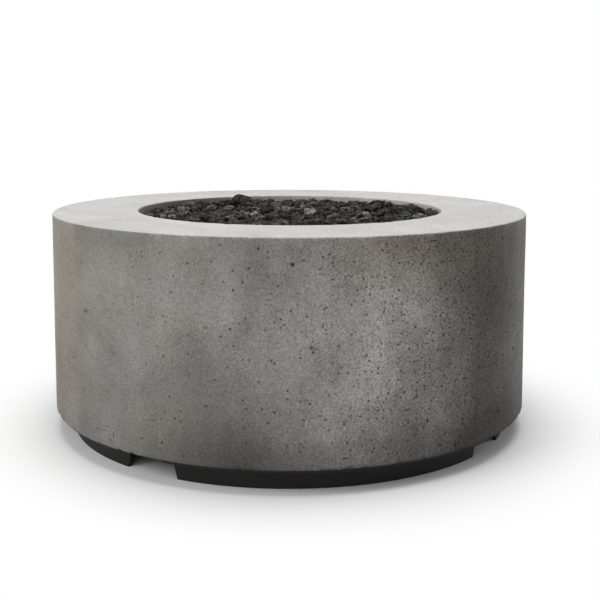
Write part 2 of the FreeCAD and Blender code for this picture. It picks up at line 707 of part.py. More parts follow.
def shortest_edge(faces):
    return min((face[k] - face[k - 1]).Length for face in faces for k in range(len(face)))


def trimmed(faces, normal, offset):
    """Cut by a plane, moved inwards in small steps until it leaves no sliver of an edge."""
    for k in range(TRIM_TRIES):
        cut = clip(faces, normal, offset - k * TRIM_STEP)
        if not cut or shortest_edge(cut) >= LEAST_ROCK_EDGE:
            return cut
    return cut


def rock_seeds(chance):
    """Middles and sizes of the loose stones, spread evenly over the opening and then shaken."""
    room = OPENING_RADIUS - ROCK_WALL_CLEARANCE
    count = int(math.pi * room ** 2 / ROCK_SPACING ** 2)
    proud = polar(PROUD_ROCK_AZIMUTH, PROUD_ROCK_RADIUS, 0)
    seeds = []
    for k in range(count):
        size = chance.uniform(ROCK_LEAST_RADIUS, ROCK_MOST_RADIUS)
        reach = min(room * math.sqrt((k + 0.5) / count), room - ROCK_LEAST_RADIUS)
        middle = polar(GOLDEN_TURN * k, reach, BED_TOP_Z + size * chance.uniform(*ROCK_LIFT_SHARES))
        shake = Vector(chance.uniform(-1, 1), chance.uniform(-1, 1), 0) * ROCK_JITTER
        seeds.append([middle + shake, size])
    seeds.sort(key=lambda seed: (Vector(seed[0].x, seed[0].y, 0) - proud).Length)
    seeds[0] = [Vector(proud.x, proud.y, RIM_Z + PROUD_ROCK_RISE - ROCK_MOST_RADIUS), ROCK_MOST_RADIUS]
    return seeds


def loose_rock(index, seeds, chance):
    """One stone: a chipped block, cut back from its neighbours, the bed, the wall and the fill line."""
    middle, size = seeds[index]
    proud = index == 0
    seat_z = BED_TOP_Z + ROCK_SEAT_GAP
    corner = Vector(middle.x - 2 * size, middle.y - 2 * size, seat_z)
    block = Part.makeBox(4 * size, 4 * size, middle.z + 2 * size - seat_z, corner)
    rock = [[vertex.Point for vertex in face.OuterWire.OrderedVertexes] for face in block.Faces]
    spin = chance.uniform(0, 2 * math.pi)
    for k in range(ROCK_FACETS):
        fall = FACET_RISE_RANGE * (k + 0.5) / ROCK_FACETS
        shake = chance.uniform(-FACET_RISE_SHAKE, FACET_RISE_SHAKE)
        rise = math.radians(FACET_STEEPEST - fall + shake)
        turn = spin + math.radians(GOLDEN_TURN) * k + chance.uniform(-FACET_TURN_SHAKE, FACET_TURN_SHAKE)
        normal = Vector(math.cos(rise) * math.cos(turn), math.cos(rise) * math.sin(turn), math.sin(rise))
        rock = trimmed(rock, normal, middle.dot(normal) + size * chance.uniform(*FACET_REACH_SHARES))
    planes = []
    if not proud:
        planes.append((UP, RIM_Z - ROCK_FILL_DROP))
    for other, (place, other_size) in enumerate(seeds):
        apart = place - middle
        distance = apart.Length
        if other != index and distance < NEIGHBOUR_REACH:
            share = (distance ** 2 + size ** 2 - other_size ** 2) / (2 * distance)
            normal = apart * (1 / distance)
            planes.append((normal, middle.dot(normal) + share - ROCK_GAP / 2))
    outward = math.degrees(math.atan2(middle.x, -middle.y))
    for k in range(WALL_FACETS):
        azimuth = outward + (k - WALL_FACETS // 2) * WALL_FACET_STEP
        planes.append((polar(azimuth, 1, 0), OPENING_RADIUS - ROCK_WALL_CLEARANCE))
    for normal, offset in planes:
        if any(point.dot(normal) > offset for face in rock for point in face):
            rock = trimmed(rock, normal, offset)
    return rock


def polyhedron(faces):
    flats = [Part.Face(Part.makePolygon(face + face[:1])) for face in faces]
    solid = Part.makeSolid(Part.makeShell(flats))
    if solid.Volume < 0:
        solid.reverse()
    return solid


def lava_rocks():
    chance = random.Random(ROCK_SEED)
    seeds = rock_seeds(chance)
    rocks = []
    for index in range(len(seeds)):
        faces = loose_rock(index, seeds, chance)
        if len(faces) > 3:
            rock = polyhedron(faces)
            if rock.Volume > LEAST_ROCK_VOLUME:
                rocks.append(rock)
    return Part.makeCompound(rocks)


def build():
    pieces = {"concrete_shell": concrete_shell()}
    for index, name in enumerate(SKIRT_NAMES):
        pieces["base_skirt_" + name] = base_skirt(index)
    pieces["base_bolts"] = base_bolts()
    pieces["base_inserts"] = base_inserts()
    pieces["burner_pan"] = burner_pan()
    pieces["ring_burner"] = ring_burner()
    pieces["burner_nipple"] = burner_nipple()
    pieces["gas_orifice"] = gas_orifice()
    pieces["pan_locknut"] = pan_locknut()
    pieces["inlet_elbow"] = inlet_elbow()
    pieces["outlet_adapter"] = outlet_adapter()
    pieces["gas_line"] = gas_line()
    pieces["flare_nuts"] = flare_nuts()
    pieces["valve_body"] = valve_body()
    pieces["valve_plug"] = valve_plug()
    pieces["stem_seal"] = stem_seal()
    pieces["gland_bush"] = gland_bush()
    pieces["wall_washer"] = wall_washer()
    pieces["neck_locknut"] = neck_locknut()
    pieces["escutcheon"] = escutcheon()
    pieces["bezel_nut"] = bezel_nut()
    pieces["lava_bed"] = lava_bed()
    pieces["lava_rocks"] = lava_rocks()
    return pieces


def main():
    os.makedirs("parts", exist_ok=True)
    for name, shape in build().items():
        shape.exportStep("parts/" + name + ".step")
        state = "valid" if shape.isValid() else "INVALID"
        print(name, len(shape.Solids), "solids", round(shape.Volume), "mm3", state)


main()
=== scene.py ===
import json
import math
from collections import namedtuple

import bmesh
import bpy
import numpy as np
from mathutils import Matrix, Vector, noise


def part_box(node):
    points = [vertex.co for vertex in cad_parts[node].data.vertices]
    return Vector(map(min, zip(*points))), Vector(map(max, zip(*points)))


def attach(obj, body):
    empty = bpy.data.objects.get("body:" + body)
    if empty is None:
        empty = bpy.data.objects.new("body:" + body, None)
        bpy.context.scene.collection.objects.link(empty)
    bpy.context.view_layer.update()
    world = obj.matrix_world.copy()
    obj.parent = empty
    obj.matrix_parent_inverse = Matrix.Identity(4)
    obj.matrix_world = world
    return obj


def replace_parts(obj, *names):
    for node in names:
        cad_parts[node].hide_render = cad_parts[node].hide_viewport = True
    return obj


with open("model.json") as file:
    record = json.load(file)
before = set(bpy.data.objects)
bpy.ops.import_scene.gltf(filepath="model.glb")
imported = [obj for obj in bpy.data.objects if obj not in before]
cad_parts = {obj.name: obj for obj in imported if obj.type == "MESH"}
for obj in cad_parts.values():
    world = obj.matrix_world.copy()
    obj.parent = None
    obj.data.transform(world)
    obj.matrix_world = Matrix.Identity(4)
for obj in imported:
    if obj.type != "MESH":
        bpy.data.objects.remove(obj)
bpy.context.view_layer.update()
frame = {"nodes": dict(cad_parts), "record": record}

# Sizes in metres, from the frame where it gives them
SHELL_LOW, SHELL_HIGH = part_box("concrete_shell")
FOOT_RADIUS = SHELL_HIGH.x
FOOT_Z = SHELL_LOW.z
RIM_Z = SHELL_HIGH.z
MOULD_DRAFT = math.radians(1.22)
CORE_DRAFT = math.radians(0.6)
RIM_RADIUS = FOOT_RADIUS - (RIM_Z - FOOT_Z) * math.tan(MOULD_DRAFT)
WALL_THICKNESS = 0.048
SLAB_THICKNESS = 0.044
OPENING_RADIUS = 0.3075
PAN_SHEET = 0.002
LEDGE_DEPTH = RIM_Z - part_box("burner_pan")[1].z + PAN_SHEET
LEDGE_WIDTH = 0.030
LEDGE_THICKNESS = 0.026
COLLAR_WIDTH = 0.030
RIM_ROUND = 0.003
OPENING_ROUND = 0.003
FOOT_ROUND = 0.004
CORE_ROUND = 0.024
BED_TOP_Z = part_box("lava_bed")[1].z

# Valve recess in the rear wall
ESCUTCHEON_LOW, ESCUTCHEON_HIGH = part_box("escutcheon")
VALVE_Z = (ESCUTCHEON_LOW.z + ESCUTCHEON_HIGH.z) / 2
RECESS_Y = ESCUTCHEON_LOW.y
RECESS_CLEARANCE = 0.002
RECESS_RADIUS = ESCUTCHEON_HIGH.x + RECESS_CLEARANCE
PASSAGE_RADIUS = 0.015
WASHER_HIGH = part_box("wall_washer")[1]
INNER_SEAT_Y = WASHER_HIGH.y
INNER_SEAT_RADIUS = WASHER_HIGH.x + RECESS_CLEARANCE

# Holes for the base's inserts, and the bars that cut round holes
INSERT_CLEARANCE = 0.00005
INSERT_CUT_START = 0.005
BAR_SIDES = 64

# Camera, as fitted to the photograph's outline
CAMERA_AZIMUTH = math.radians(33.25)
CAMERA_DISTANCE = 2.032
CAMERA_HEIGHT = 0.6316
CAMERA_PITCH = math.radians(10.893)
CAMERA_YAW = math.radians(0.599)
CAMERA_ROLL = math.radians(0.146)
SENSOR_WIDTH = 36.0
LENS = 59.34

# Floor: its colour where it is seen, the light it throws back, and where it turns to the backdrop's white
FLOOR_COLOUR = (0.86, 0.86, 0.86)
FLOOR_BOUNCE = (0.12, 0.12, 0.12)
FLOOR_NEAR = 0.44
FLOOR_FAR = 0.78
FLOOR_REACH = 30.0
WHITE = (1.0, 1.0, 1.0, 1.0)

# Lamps: place to the camera's right, away from it and up, with width and power
Lamp = namedtuple("Lamp", "name right away height width power")
LAMPS = (
    Lamp("top", 0.1, 0.2, 2.6, 2.6, 69),
    Lamp("key", -2.0, -1.5, 1.5, 1.8, 36),
    Lamp("front", -0.6, -2.9, 1.3, 1.8, 14),
    Lamp("rim", 2.6, 0.7, 1.0, 1.0, 13),
)
LAMP_TARGET = Vector((0, 0, 0.3))
WORLD_STRENGTH = 0.22

# Colours of the concrete by tone. Each noise swings the tone to both sides by its weight
CONCRETE_TONES = (
    (0.38, (0.185, 0.180, 0.170)), (0.46, (0.268, 0.260, 0.247)),
    (0.54, (0.340, 0.330, 0.313)), (0.62, (0.430, 0.418, 0.397)),
)
NOISE_MIDDLE = 0.5
NOISE_SPAN = (0.3, 0.7)
PATCH_WEIGHT = 0.40
STREAK_WEIGHT = 0.20
STREAK_STRETCH = (1.0, 1.0, 0.22)
CLOUD_WEIGHTS = (0.28, 0.40)
TONE_CONTRASTS = (0.78, 1.1)
WARM_TINT = (1.05, 0.955, 0.84)
WARM_SPAN = (0.45, 0.75)
WARM_DRIFT = 0.4
TROWELLED_COLOUR = (0.283, 0.286, 0.290)
TROWELLED_SHARE = 0.48
MILD_GRAIN = ((0.25, (0.70, 0.70, 0.70)), (0.75, (1.30, 1.30, 1.29)))
STRONG_GRAIN = ((0.25, (0.35, 0.35, 0.35)), (0.75, (1.68, 1.68, 1.67)))
SAND_COLOUR = (0.56, 0.55, 0.53)
SAND_SPAN = (0.64, 0.78)
SAND_SHARE = 0.5
# Painted shade in the pores and casting holes: its colour, and its largest share
HOLE_SHADE_COLOUR = (0.040, 0.038, 0.035)
HOLE_SHADE_SHARE = 0.82
GRAIN_HEIGHT = 0.35
CLOUD_HEIGHT = 0.5
HOLLOW_DEPTH = 1.3
CONCRETE_ROUGHNESS = (0.70, 0.88)

# Spots in the cells of a cell noise: cells per metre, least chance and most size of a spot, its soft edge,
# the coarseness where they grow stronger, and their strengths on smooth and on coarse concrete
Spots = namedtuple("Spots", "scale least_chance most_size soft coarse_from strengths")
PALE_FLECKS = Spots(150.0, 0.62, 0.34, 0.15, 0.2, (0.0, 0.62))
# Pores, which the concrete's material fills with painted shade
FINE_PORES = Spots(300.0, 0.55, 0.32, 0.08, 0.2, (0.52, 0.75))
WIDE_PORES = Spots(130.0, 0.62, 0.34, 0.15, 0.3, (0.2, 0.8))
FLECK_SHIFT = (3.1, 1.7, 0.4)
PORE_SHAKE = 0.0016

# Large patches of the concrete wall's tone, partly real stains and partly painted light and shade: middle as
# azimuth in degrees and height, half width in degrees, half height, and how much the concrete's tone and
# warmth change there
StainAndPaintedLight = namedtuple("StainAndPaintedLight", "azimuth height half_width half_height tone warmth")
WARM_EDGE = StainAndPaintedLight(-38, 0.25, 20, 0.40, 0.06, 0.9)
WARM_SHOULDER = StainAndPaintedLight(66, 0.41, 22, 0.07, -0.16, 0.9)
# Partly a real pale stain and partly a painted pool of light
PALE_CLOUD = StainAndPaintedLight(52, 0.225, 18.5, 0.15, 0.82, -0.3)
PALE_SHOULDER = StainAndPaintedLight(34, 0.35, 15, 0.06, 0.17, -0.1)
DULL_SIDE = StainAndPaintedLight(17, 0.13, 14, 0.18, -0.30, 0.1)
DULL_SHOULDER = StainAndPaintedLight(-4, 0.42, 26, 0.05, -0.16, 0.1)
# Partly a real dark stain and partly painted shade on the side turned from the key lamp
DARK_BAND = StainAndPaintedLight(77, 0.24, 16, 0.40, -0.52, 0.0)
# Painted shade: the wall darker towards its foot
PAINTED_FOOT_SHADE = StainAndPaintedLight(38, 0.04, 42, 0.09, -0.52, -0.2)
PALE_FOOT = StainAndPaintedLight(36, 0.13, 7, 0.06, 0.28, -0.2)
DARK_CORNER = StainAndPaintedLight(98, 0.05, 18, 0.07, -0.35, -0.4)
STAINS_AND_PAINTED_LIGHT = (
    WARM_EDGE, WARM_SHOULDER, PALE_CLOUD, PALE_SHOULDER, DULL_SIDE, DULL_SHOULDER, DARK_BAND, PAINTED_FOOT_SHADE,
    PALE_FOOT, DARK_CORNER,
)
PATCH_DRIFT = 0.045
PATCH_DRIFT_DEGREES = 7.0
DRIFT_SCALE = 7.0
DRIFT_PLACES = (Vector((11.3, 4.7, 2.9)), Vector((6.1, 13.4, 8.2)))
# Painted light and sheen on the top, where the overhead lamp falls
TOP_PAINTED_LIGHT = 0.34

# Tone of the opening's wall, and a painted shadow on it, darkest at one azimuth
OPENING_PALER = 0.34
OPENING_SHADOW_DARKEST = -0.95
OPENING_SHADOW_AZIMUTH = -95
OPENING_SHADOW_HALF_WIDTH = 52

# Casting holes that stand out on the wall: azimuth in degrees, height and width
Hole = namedtuple("Hole", "azimuth height width")
SEEN_HOLES = (
    Hole(84.8, 0.080, 0.0065), Hole(-8.2, 0.055, 0.0040), Hole(-6.6, 0.061, 0.0030),
    Hole(-6.6, 0.066, 0.0025), Hole(-12.4, 0.069, 0.0030), Hole(-11.4, 0.068, 0.0025),
    Hole(-10.3, 0.066, 0.0030), Hole(6.5, 0.071, 0.0045), Hole(1.0, 0.072, 0.0030),
    Hole(58.9, 0.100, 0.0030), Hole(59.6, 0.094, 0.0035), Hole(76.4, 0.078, 0.0040),
    Hole(71.8, 0.087, 0.0035), Hole(101.0, 0.090, 0.0040),
)
SEEN_HOLE_DEPTH_SHARE = 0.6
TOP_HOLE_AZIMUTH = 155.4
TOP_HOLE_RADIUS = 0.406
TOP_HOLE_WIDTH = 0.0045
TOP_HOLE_DEPTH = 0.002

# Casting holes at random places: how many, the cells across that each takes, its width as a share of those,
# its depth, and whether they lie mostly on the porous side
Scatter = namedtuple("Scatter", "count cells widths depths porous")
WALL_SCATTERS = (
    Scatter(14, 2, (0.35, 0.60), (0.0020, 0.0035), False),
    Scatter(8, 2, (0.35, 0.60), (0.0020, 0.0035), True),
    Scatter(420, 1, (0.25, 0.60), (0.0010, 0.0022), False),
    Scatter(620, 1, (0.30, 0.80), (0.0012, 0.0025), True),
)
TOP_SCATTER = Scatter(50, 1, (0.15, 0.40), (0.0006, 0.0014), False)
POROUS_MIDDLE = 70
POROUS_HALF_WIDTH = 44

# Form of a casting hole, with ranges that each hole draws from
HOLE_SIDES = 8
HOLE_START = 225
HOLE_SQUEEZE = (0.5, 1.0)
UPRIGHT_HOLES = 0.5
HOLE_REACH_SHARES = (0.7, 1.15)
HOLE_DEPTH_SHARES = (0.8, 1.15)
HOLE_FLOOR_SHARE = 0.7
# Painted shade in a casting hole: its strength on the floor, and its share of that at the rim
HOLE_SHADE_STRENGTHS = (0.65, 1.0)
HOLE_RIM_SHADE_SHARE = 0.8

# Waviness of the cast faces as (scale, height), and nicks along the edges
WAVES = ((5.0, 0.0005), (22.0, 0.00018))
Nicks = namedtuple("Nicks", "reach depth")
RIM_NICKS = Nicks(0.006, 0.0032)
FOOT_NICKS = Nicks(0.008, 0.0060)
OPENING_NICKS = Nicks(0.006, 0.0030)
NICK_SCALE = 60.0
NICK_PLACE = Vector((3.1, 7.7, 1.3))
NICK_LEAST = 0.18
SHELL_SHARP_ANGLE = math.radians(38)

# Stones of a piece, and reading the CAD stones back as planes
StonePart = namedtuple("StonePart", "points faces tint tones")
WELD_DISTANCE = 1e-6
LEAST_FACE = 1e-12
PLANE_DIGITS = 5

# Lava stones: their pieces from the left to the right, the one with a reddish skin, and the others' tints
STONE_PIECES = ("lava_stones_left", "lava_stones_middle", "lava_stones_right")
RED_STONE = (0.240, 0.085)
RED_TINT = 1.0
PROUD_TINT = 0.5
LEAST_TINT = 0.16
TINT_SPREAD = 0.26
MOST_TINT = 0.86
# Painted shade on the stones' lower sides, where they sit in the crevices: the height shares at which it is
# full and at which it ends, and its darkest tone
CREVICE_SHADE_FULL_SHARE = 0.42
CREVICE_SHADE_END_SHARE = 0.95
CREVICE_SHADE_TONE = 0.06
FACET_CONTRAST = 1.2
FACET_TONE_SCALE = 5.0
STONE_TONE_SCALE = 40.0
STONE_SHARP_ANGLE = math.radians(32)
WHOLE_STONE_DETAIL = 4
BROKEN_STONE_DETAIL = 3

# Skin of the lava stones: how sharp their edges are, lumps, and pits as scale, width in that scale and depth
EDGE_SHARPNESS = 60.0
LEAST_FACET_REACH = 0.002
LUMP_SCALE = 70.0
LUMP_DEPTH = 0.0021
LUMP_ROUGHNESS = 0.7
LUMP_LACUNARITY = 2.1
LUMP_OCTAVES = 4
Pits = namedtuple("Pits", "scale width depth")
STONE_PITS = (Pits(95.0, 0.38, 0.0050), Pits(230.0, 0.42, 0.0034))

# Cracks that part some of the stones in two
CRACKED_SHARE = 0.65
CRACK_WIDTH = 0.0012
CRACK_PLACE = 0.45
CRACK_LEAN = 0.4
LEAST_FACING = 0.05

# Small broken stones, in the bare places of the bed and in the hollows between the larger stones
STONE_REACH = 0.03
LEAST_RISE = 0.01
CHIPS_IN_HOLLOWS = 420
SMALLEST_CHIP = 0.0045
LARGEST_CHIP = 0.0085
CHIP_FACETS = 10
CHIP_REACH_SHARES = (0.62, 1.0)
CHIP_DROP = 0.008
HOLLOW_TRIES = 6
HOLLOW_WALL_ROOM = LARGEST_CHIP * 1.2
HOLLOW_LIFT_SHARE = 0.45
# Low tints for the chips in the hollows: painted shade between the larger stones
HOLLOW_TINTS = (0.0, 0.5)
BARE_TRIES = 6000
BARE_WALL_ROOM = LARGEST_CHIP * 1.1
BARE_SIZE_SHARES = (1.0, 1.2)
BARE_LIFT_SHARE = 0.75
# Low tints for the chips on the bare places: painted shade where the bed shows
BARE_TINTS = (0.0, 0.4)

# Colours of the lava by tint, its mottles, and the painted shade in its pits
LAVA_TINTS = (
    (0.0, (0.020, 0.0198, 0.0188)), (0.45, (0.050, 0.0490, 0.0465)), (0.75, (0.096, 0.0935, 0.0885)),
    (0.92, (0.130, 0.1270, 0.1200)), (1.0, (0.170, 0.112, 0.094)),
)
LAVA_MOTTLES = ((0.36, (0.12, 0.12, 0.12)), (0.64, (2.30, 2.28, 2.24)))
LAVA_PIT_SHADE_COLOUR = (0.004, 0.004, 0.004)
LAVA_PIT_SPAN = (0.40, 0.18)
LAVA_PIT_SHADE_SHARE = 0.7
MOTTLE_HEIGHT = 1.2
LAVA_ROUGHNESS = (0.62, 0.88)

# Black coating and rubber
COAT_COLOURS = ((0.4, (0.0055, 0.0055, 0.0053)), (0.75, (0.014, 0.0138, 0.0130)))
COAT_SPAN = (0.3, 0.75)
COAT_ROUGHNESS = (0.50, 0.66)
RUBBER_COLOURS = ((0.3, (0.012, 0.012, 0.012)), (0.7, (0.026, 0.026, 0.026)))
RUBBER_ROUGHNESS = (0.55, 0.75)

# Bare metals by material slot, and the heat tint of metal that lies in the fire
Metal = namedtuple("Metal", "name light dark roughness")
METALS = {
    "stainless": Metal("stainless_steel", (0.58, 0.57, 0.555), (0.49, 0.48, 0.46), 0.34),
    "zinc_steel": Metal("zinc_plated_steel", (0.58, 0.58, 0.56), (0.40, 0.40, 0.40), 0.42),
    "brass": Metal("brass", (0.72, 0.52, 0.24), (0.50, 0.34, 0.15), 0.30),
    "chrome_trim": Metal("chrome", (0.50, 0.50, 0.515), (0.42, 0.42, 0.435), 0.20),
}
SMOOTHEST_SHARE = 0.75
ROUGHEST_SHARE = 1.3
MARK_SCALE = 480.0
MARK_SPAN = (0.25, 0.75)
TARNISH_SCALE = 60.0
TARNISH_SPAN = (0.35, 0.75)
HEAT_START_DEPTH = 0.045
HEAT_FULL_DEPTH = 0.010
HEAT_LOW_Z = BED_TOP_Z - HEAT_START_DEPTH
HEAT_HIGH_Z = BED_TOP_Z - HEAT_FULL_DEPTH
HEAT_TINT = (0.040, 0.033, 0.030)

SHELL_SEED = 7
STONE_SEED = 8
CHIP_SEED = 9


def add(tree, kind, values=None, **settings):
    """Adds a shader node. values maps an input to a constant or to another node's output."""
    made = tree.nodes.new("ShaderNode" + kind)
    for name, value in settings.items():
        setattr(made, name, value)
    for key, value in (values or {}).items():
        if isinstance(value, bpy.types.NodeSocket):
            tree.links.new(value, made.inputs[key])
        else:
            made.inputs[key].default_value = value
    return made


def noise_of(tree, place, scale, detail, roughness, distortion=0.0):
    values = {
        "Vector": place, "Scale": scale, "Detail": detail, "Roughness": roughness, "Distortion": distortion,
    }
    return add(tree, "TexNoise", values).outputs["Fac"]


def shifted(tree, vector, offset):
    return add(tree, "VectorMath", {0: vector, 1: offset}, operation="ADD").outputs["Vector"]


def scaled(tree, vector, scale):
    return add(tree, "VectorMath", {0: vector, "Scale": scale}, operation="SCALE").outputs["Vector"]


def shaken(tree, place, scale, reach):
    """Place with a small random offset, up to about half the reach each way."""
    colour = add(tree, "TexNoise", {"Vector": place, "Scale": scale, "Detail": 2.0}).outputs["Color"]
    swing = shifted(tree, colour, (-NOISE_MIDDLE, -NOISE_MIDDLE, -NOISE_MIDDLE))
    return shifted(tree, place, scaled(tree, swing, reach))


def cells_of(tree, place, scale):
    """Cell noise: distance from each cell's middle, and a random colour for each cell."""
    made = add(tree, "TexVoronoi", {"Vector": place, "Scale": scale, "Randomness": 1.0})
    return made.outputs["Distance"], made.outputs["Color"]


def maths(tree, operation, first, second, clamp=False):
    return add(tree, "Math", {0: first, 1: second}, operation=operation, use_clamp=clamp).outputs[0]


def swing_of(tree, value, weight):
    """Weighted swing of a noise to each side of its middle."""
    return maths(tree, "MULTIPLY", maths(tree, "SUBTRACT", value, NOISE_MIDDLE), weight)


def ranged(tree, value, low, high, to_low=0.0, to_high=1.0):
    """Value taken smoothly from one range to another and clamped there."""
    values = {"Value": value, 1: low, 2: high, 3: to_low, 4: to_high}
    return add(tree, "MapRange", values, interpolation_type="SMOOTHSTEP").outputs["Result"]


def ramp(tree, value, stops):
    """Colour ramp from (position, colour) stops."""
    made = add(tree, "ValToRGB", {"Fac": value})
    elements = made.color_ramp.elements
    while len(elements) < len(stops):
        elements.new(position=0.5)
    for element, (position, colour) in zip(elements, stops):
        element.position = position
        element.color = (*colour, 1.0)
    return made.outputs["Color"]


def mixed(tree, factor, first, second, blend="MIX"):
    made = add(tree, "Mix", data_type="RGBA", blend_type=blend)
    factor_in, first_in, second_in = made.inputs[0], made.inputs[6], made.inputs[7]
    for socket, value in ((factor_in, factor), (first_in, first), (second_in, second)):
        if isinstance(value, bpy.types.NodeSocket):
            tree.links.new(value, socket)
        elif isinstance(value, tuple):
            socket.default_value = (*value, 1.0)
        else:
            socket.default_value = value
    return made.outputs[2]


def new_material(name):
    """Empty material, its node tree, and the place of each point on the object."""
    material = bpy.data.materials.new(name)
    material.use_nodes = True
    tree = material.node_tree
    tree.nodes.clear()
    place = add(tree, "TexCoord").outputs["Object"]
    return material, tree, place


def finish_material(tree, values):
    """Principled surface with the given inputs."""
    shader = add(tree, "BsdfPrincipled", values)
    add(tree, "OutputMaterial", {"Surface": shader.outputs["BSDF"]})


def bump_of(tree, height, distance, strength):
    values = {"Height": height, "Distance": distance, "Strength": strength}
    return add(tree, "Bump", values).outputs["Normal"]


def attribute_of(tree, name):
    return add(tree, "Attribute", attribute_name=name).outputs["Fac"]


def spots_of(tree, place, coarse, kind):
    """Round spots in some of the cells of a cell noise, stronger on coarse concrete."""
    distance, colour = cells_of(tree, place, kind.scale)
    chance = add(tree, "SeparateColor", {"Color": colour}).outputs["Red"]
    size = ranged(tree, chance, kind.least_chance, 1.0, to_high=kind.most_size)
    spots = ranged(tree, maths(tree, "SUBTRACT", size, distance), 0.0, kind.soft)
    return maths(tree, "MULTIPLY", spots, ranged(tree, coarse, kind.coarse_from, 1.0, *kind.strengths))


def concrete_material():
    material, tree, place = new_material("concrete")
    upright = add(tree, "Mapping", {"Vector": place, "Scale": STREAK_STRETCH}).outputs["Vector"]
    patch = noise_of(tree, place, scale=4.5, detail=5.0, roughness=0.6, distortion=0.4)
    cloud = noise_of(tree, place, scale=16.0, detail=8.0, roughness=0.7, distortion=0.2)
    streak = noise_of(tree, upright, scale=11.0, detail=5.0, roughness=0.6)
    grain = noise_of(tree, place, scale=270.0, detail=3.0, roughness=0.7)
    sand = noise_of(tree, place, scale=1300.0, detail=2.0, roughness=0.6)
    warm_patch = noise_of(tree, place, scale=6.5, detail=3.0, roughness=0.5)
    coarse = attribute_of(tree, "coarse")

    # Tone and warmth
    cloudy = ranged(tree, coarse, 0.0, 1.0, *CLOUD_WEIGHTS)
    contrast = ranged(tree, coarse, 0.0, 1.0, *TONE_CONTRASTS)
    swing = maths(tree, "ADD", swing_of(tree, patch, PATCH_WEIGHT), swing_of(tree, streak, STREAK_WEIGHT))
    swing = maths(tree, "ADD", swing, swing_of(tree, cloud, cloudy))
    tone = maths(tree, "ADD", maths(tree, "MULTIPLY", swing, contrast), NOISE_MIDDLE)
    colour = ramp(tree, tone, CONCRETE_TONES)
    drift = ranged(tree, warm_patch, *WARM_SPAN, to_high=WARM_DRIFT)
    warm = maths(tree, "ADD", attribute_of(tree, "warmth"), drift, clamp=True)
    colour = mixed(tree, warm, colour, mixed(tree, 1.0, colour, WARM_TINT, "MULTIPLY"))
    even = maths(tree, "MULTIPLY", attribute_of(tree, "trowelled"), TROWELLED_SHARE)
    colour = mixed(tree, even, colour, TROWELLED_COLOUR)

    # Grain, sand, pale flecks, stains, and painted light and shade
    grains = mixed(tree, coarse, ramp(tree, grain, MILD_GRAIN), ramp(tree, grain, STRONG_GRAIN))
    colour = mixed(tree, 1.0, colour, grains, "MULTIPLY")
    colour = mixed(tree, ranged(tree, sand, *SAND_SPAN, to_high=SAND_SHARE), colour, SAND_COLOUR)
    flecks = spots_of(tree, shifted(tree, place, FLECK_SHIFT), coarse, PALE_FLECKS)
    colour = mixed(tree, flecks, colour, SAND_COLOUR)
    # Stains and painted light and shade on the wall, painted light on the top, and a painted shadow in the
    # opening
    colour = scaled(tree, colour, maths(tree, "ADD", attribute_of(tree, "stain_and_painted_light"), 1.0))

    # Pores and casting holes, with painted shade in them
    uneven = shaken(tree, place, scale=240.0, reach=PORE_SHAKE)
    wide = spots_of(tree, uneven, coarse, WIDE_PORES)
    fine = spots_of(tree, uneven, coarse, FINE_PORES)
    dark = maths(tree, "MAXIMUM", maths(tree, "MAXIMUM", wide, fine), attribute_of(tree, "hollow"))
    colour = mixed(tree, maths(tree, "MULTIPLY", dark, HOLE_SHADE_SHARE), colour, HOLE_SHADE_COLOUR)
    grainy = maths(tree, "MULTIPLY", grain, GRAIN_HEIGHT)
    height = maths(tree, "ADD", grainy, maths(tree, "MULTIPLY", cloud, CLOUD_HEIGHT))
    height = maths(tree, "SUBTRACT", height, maths(tree, "MULTIPLY", dark, HOLLOW_DEPTH))
    finish_material(tree, {
        "Base Color": colour,
        "Roughness": ranged(tree, cloud, *NOISE_SPAN, *CONCRETE_ROUGHNESS),
        "Specular IOR Level": 0.15,
        "Normal": bump_of(tree, height, distance=0.0007, strength=0.8),
    })
    return material


def lava_material():
    material, tree, place = new_material("lava_rock")
    mottle = noise_of(tree, place, scale=110.0, detail=6.0, roughness=0.7)
    fine = noise_of(tree, place, scale=700.0, detail=4.0, roughness=0.7)
    distance, _ = cells_of(tree, place, scale=260.0)
    colour = ramp(tree, attribute_of(tree, "tint"), LAVA_TINTS)
    # Tone of the stones: their facets' tones times painted crevice shade
    colour = scaled(tree, colour, attribute_of(tree, "tone"))
    colour = mixed(tree, 1.0, colour, ramp(tree, mottle, LAVA_MOTTLES), "MULTIPLY")
    # Painted shade in the pits
    pit = ranged(tree, distance, *LAVA_PIT_SPAN)
    colour = mixed(tree, maths(tree, "MULTIPLY", pit, LAVA_PIT_SHADE_SHARE), colour, LAVA_PIT_SHADE_COLOUR)
    height = maths(tree, "ADD", maths(tree, "MULTIPLY", mottle, MOTTLE_HEIGHT), fine)
    height = maths(tree, "SUBTRACT", height, pit)
    finish_material(tree, {
        "Base Color": colour,
        "Roughness": ranged(tree, mottle, *NOISE_SPAN, *LAVA_ROUGHNESS),
        "Specular IOR Level": 0.0,
        "Normal": bump_of(tree, height, distance=0.0011, strength=0.9),
    })
    return material


def powder_coat_material():
    material, tree, place = new_material("black_powder_coat")
    peel = noise_of(tree, place, scale=480.0, detail=3.0, roughness=0.5)
    dust = noise_of(tree, place, scale=18.0, detail=6.0, roughness=0.65)
    finish_material(tree, {
        "Base Color": ramp(tree, dust, COAT_COLOURS),
        "Roughness": ranged(tree, dust, *COAT_SPAN, *COAT_ROUGHNESS),
        "Specular IOR Level": 0.25,
        "Normal": bump_of(tree, peel, distance=0.00012, strength=0.6),
    })
    return material


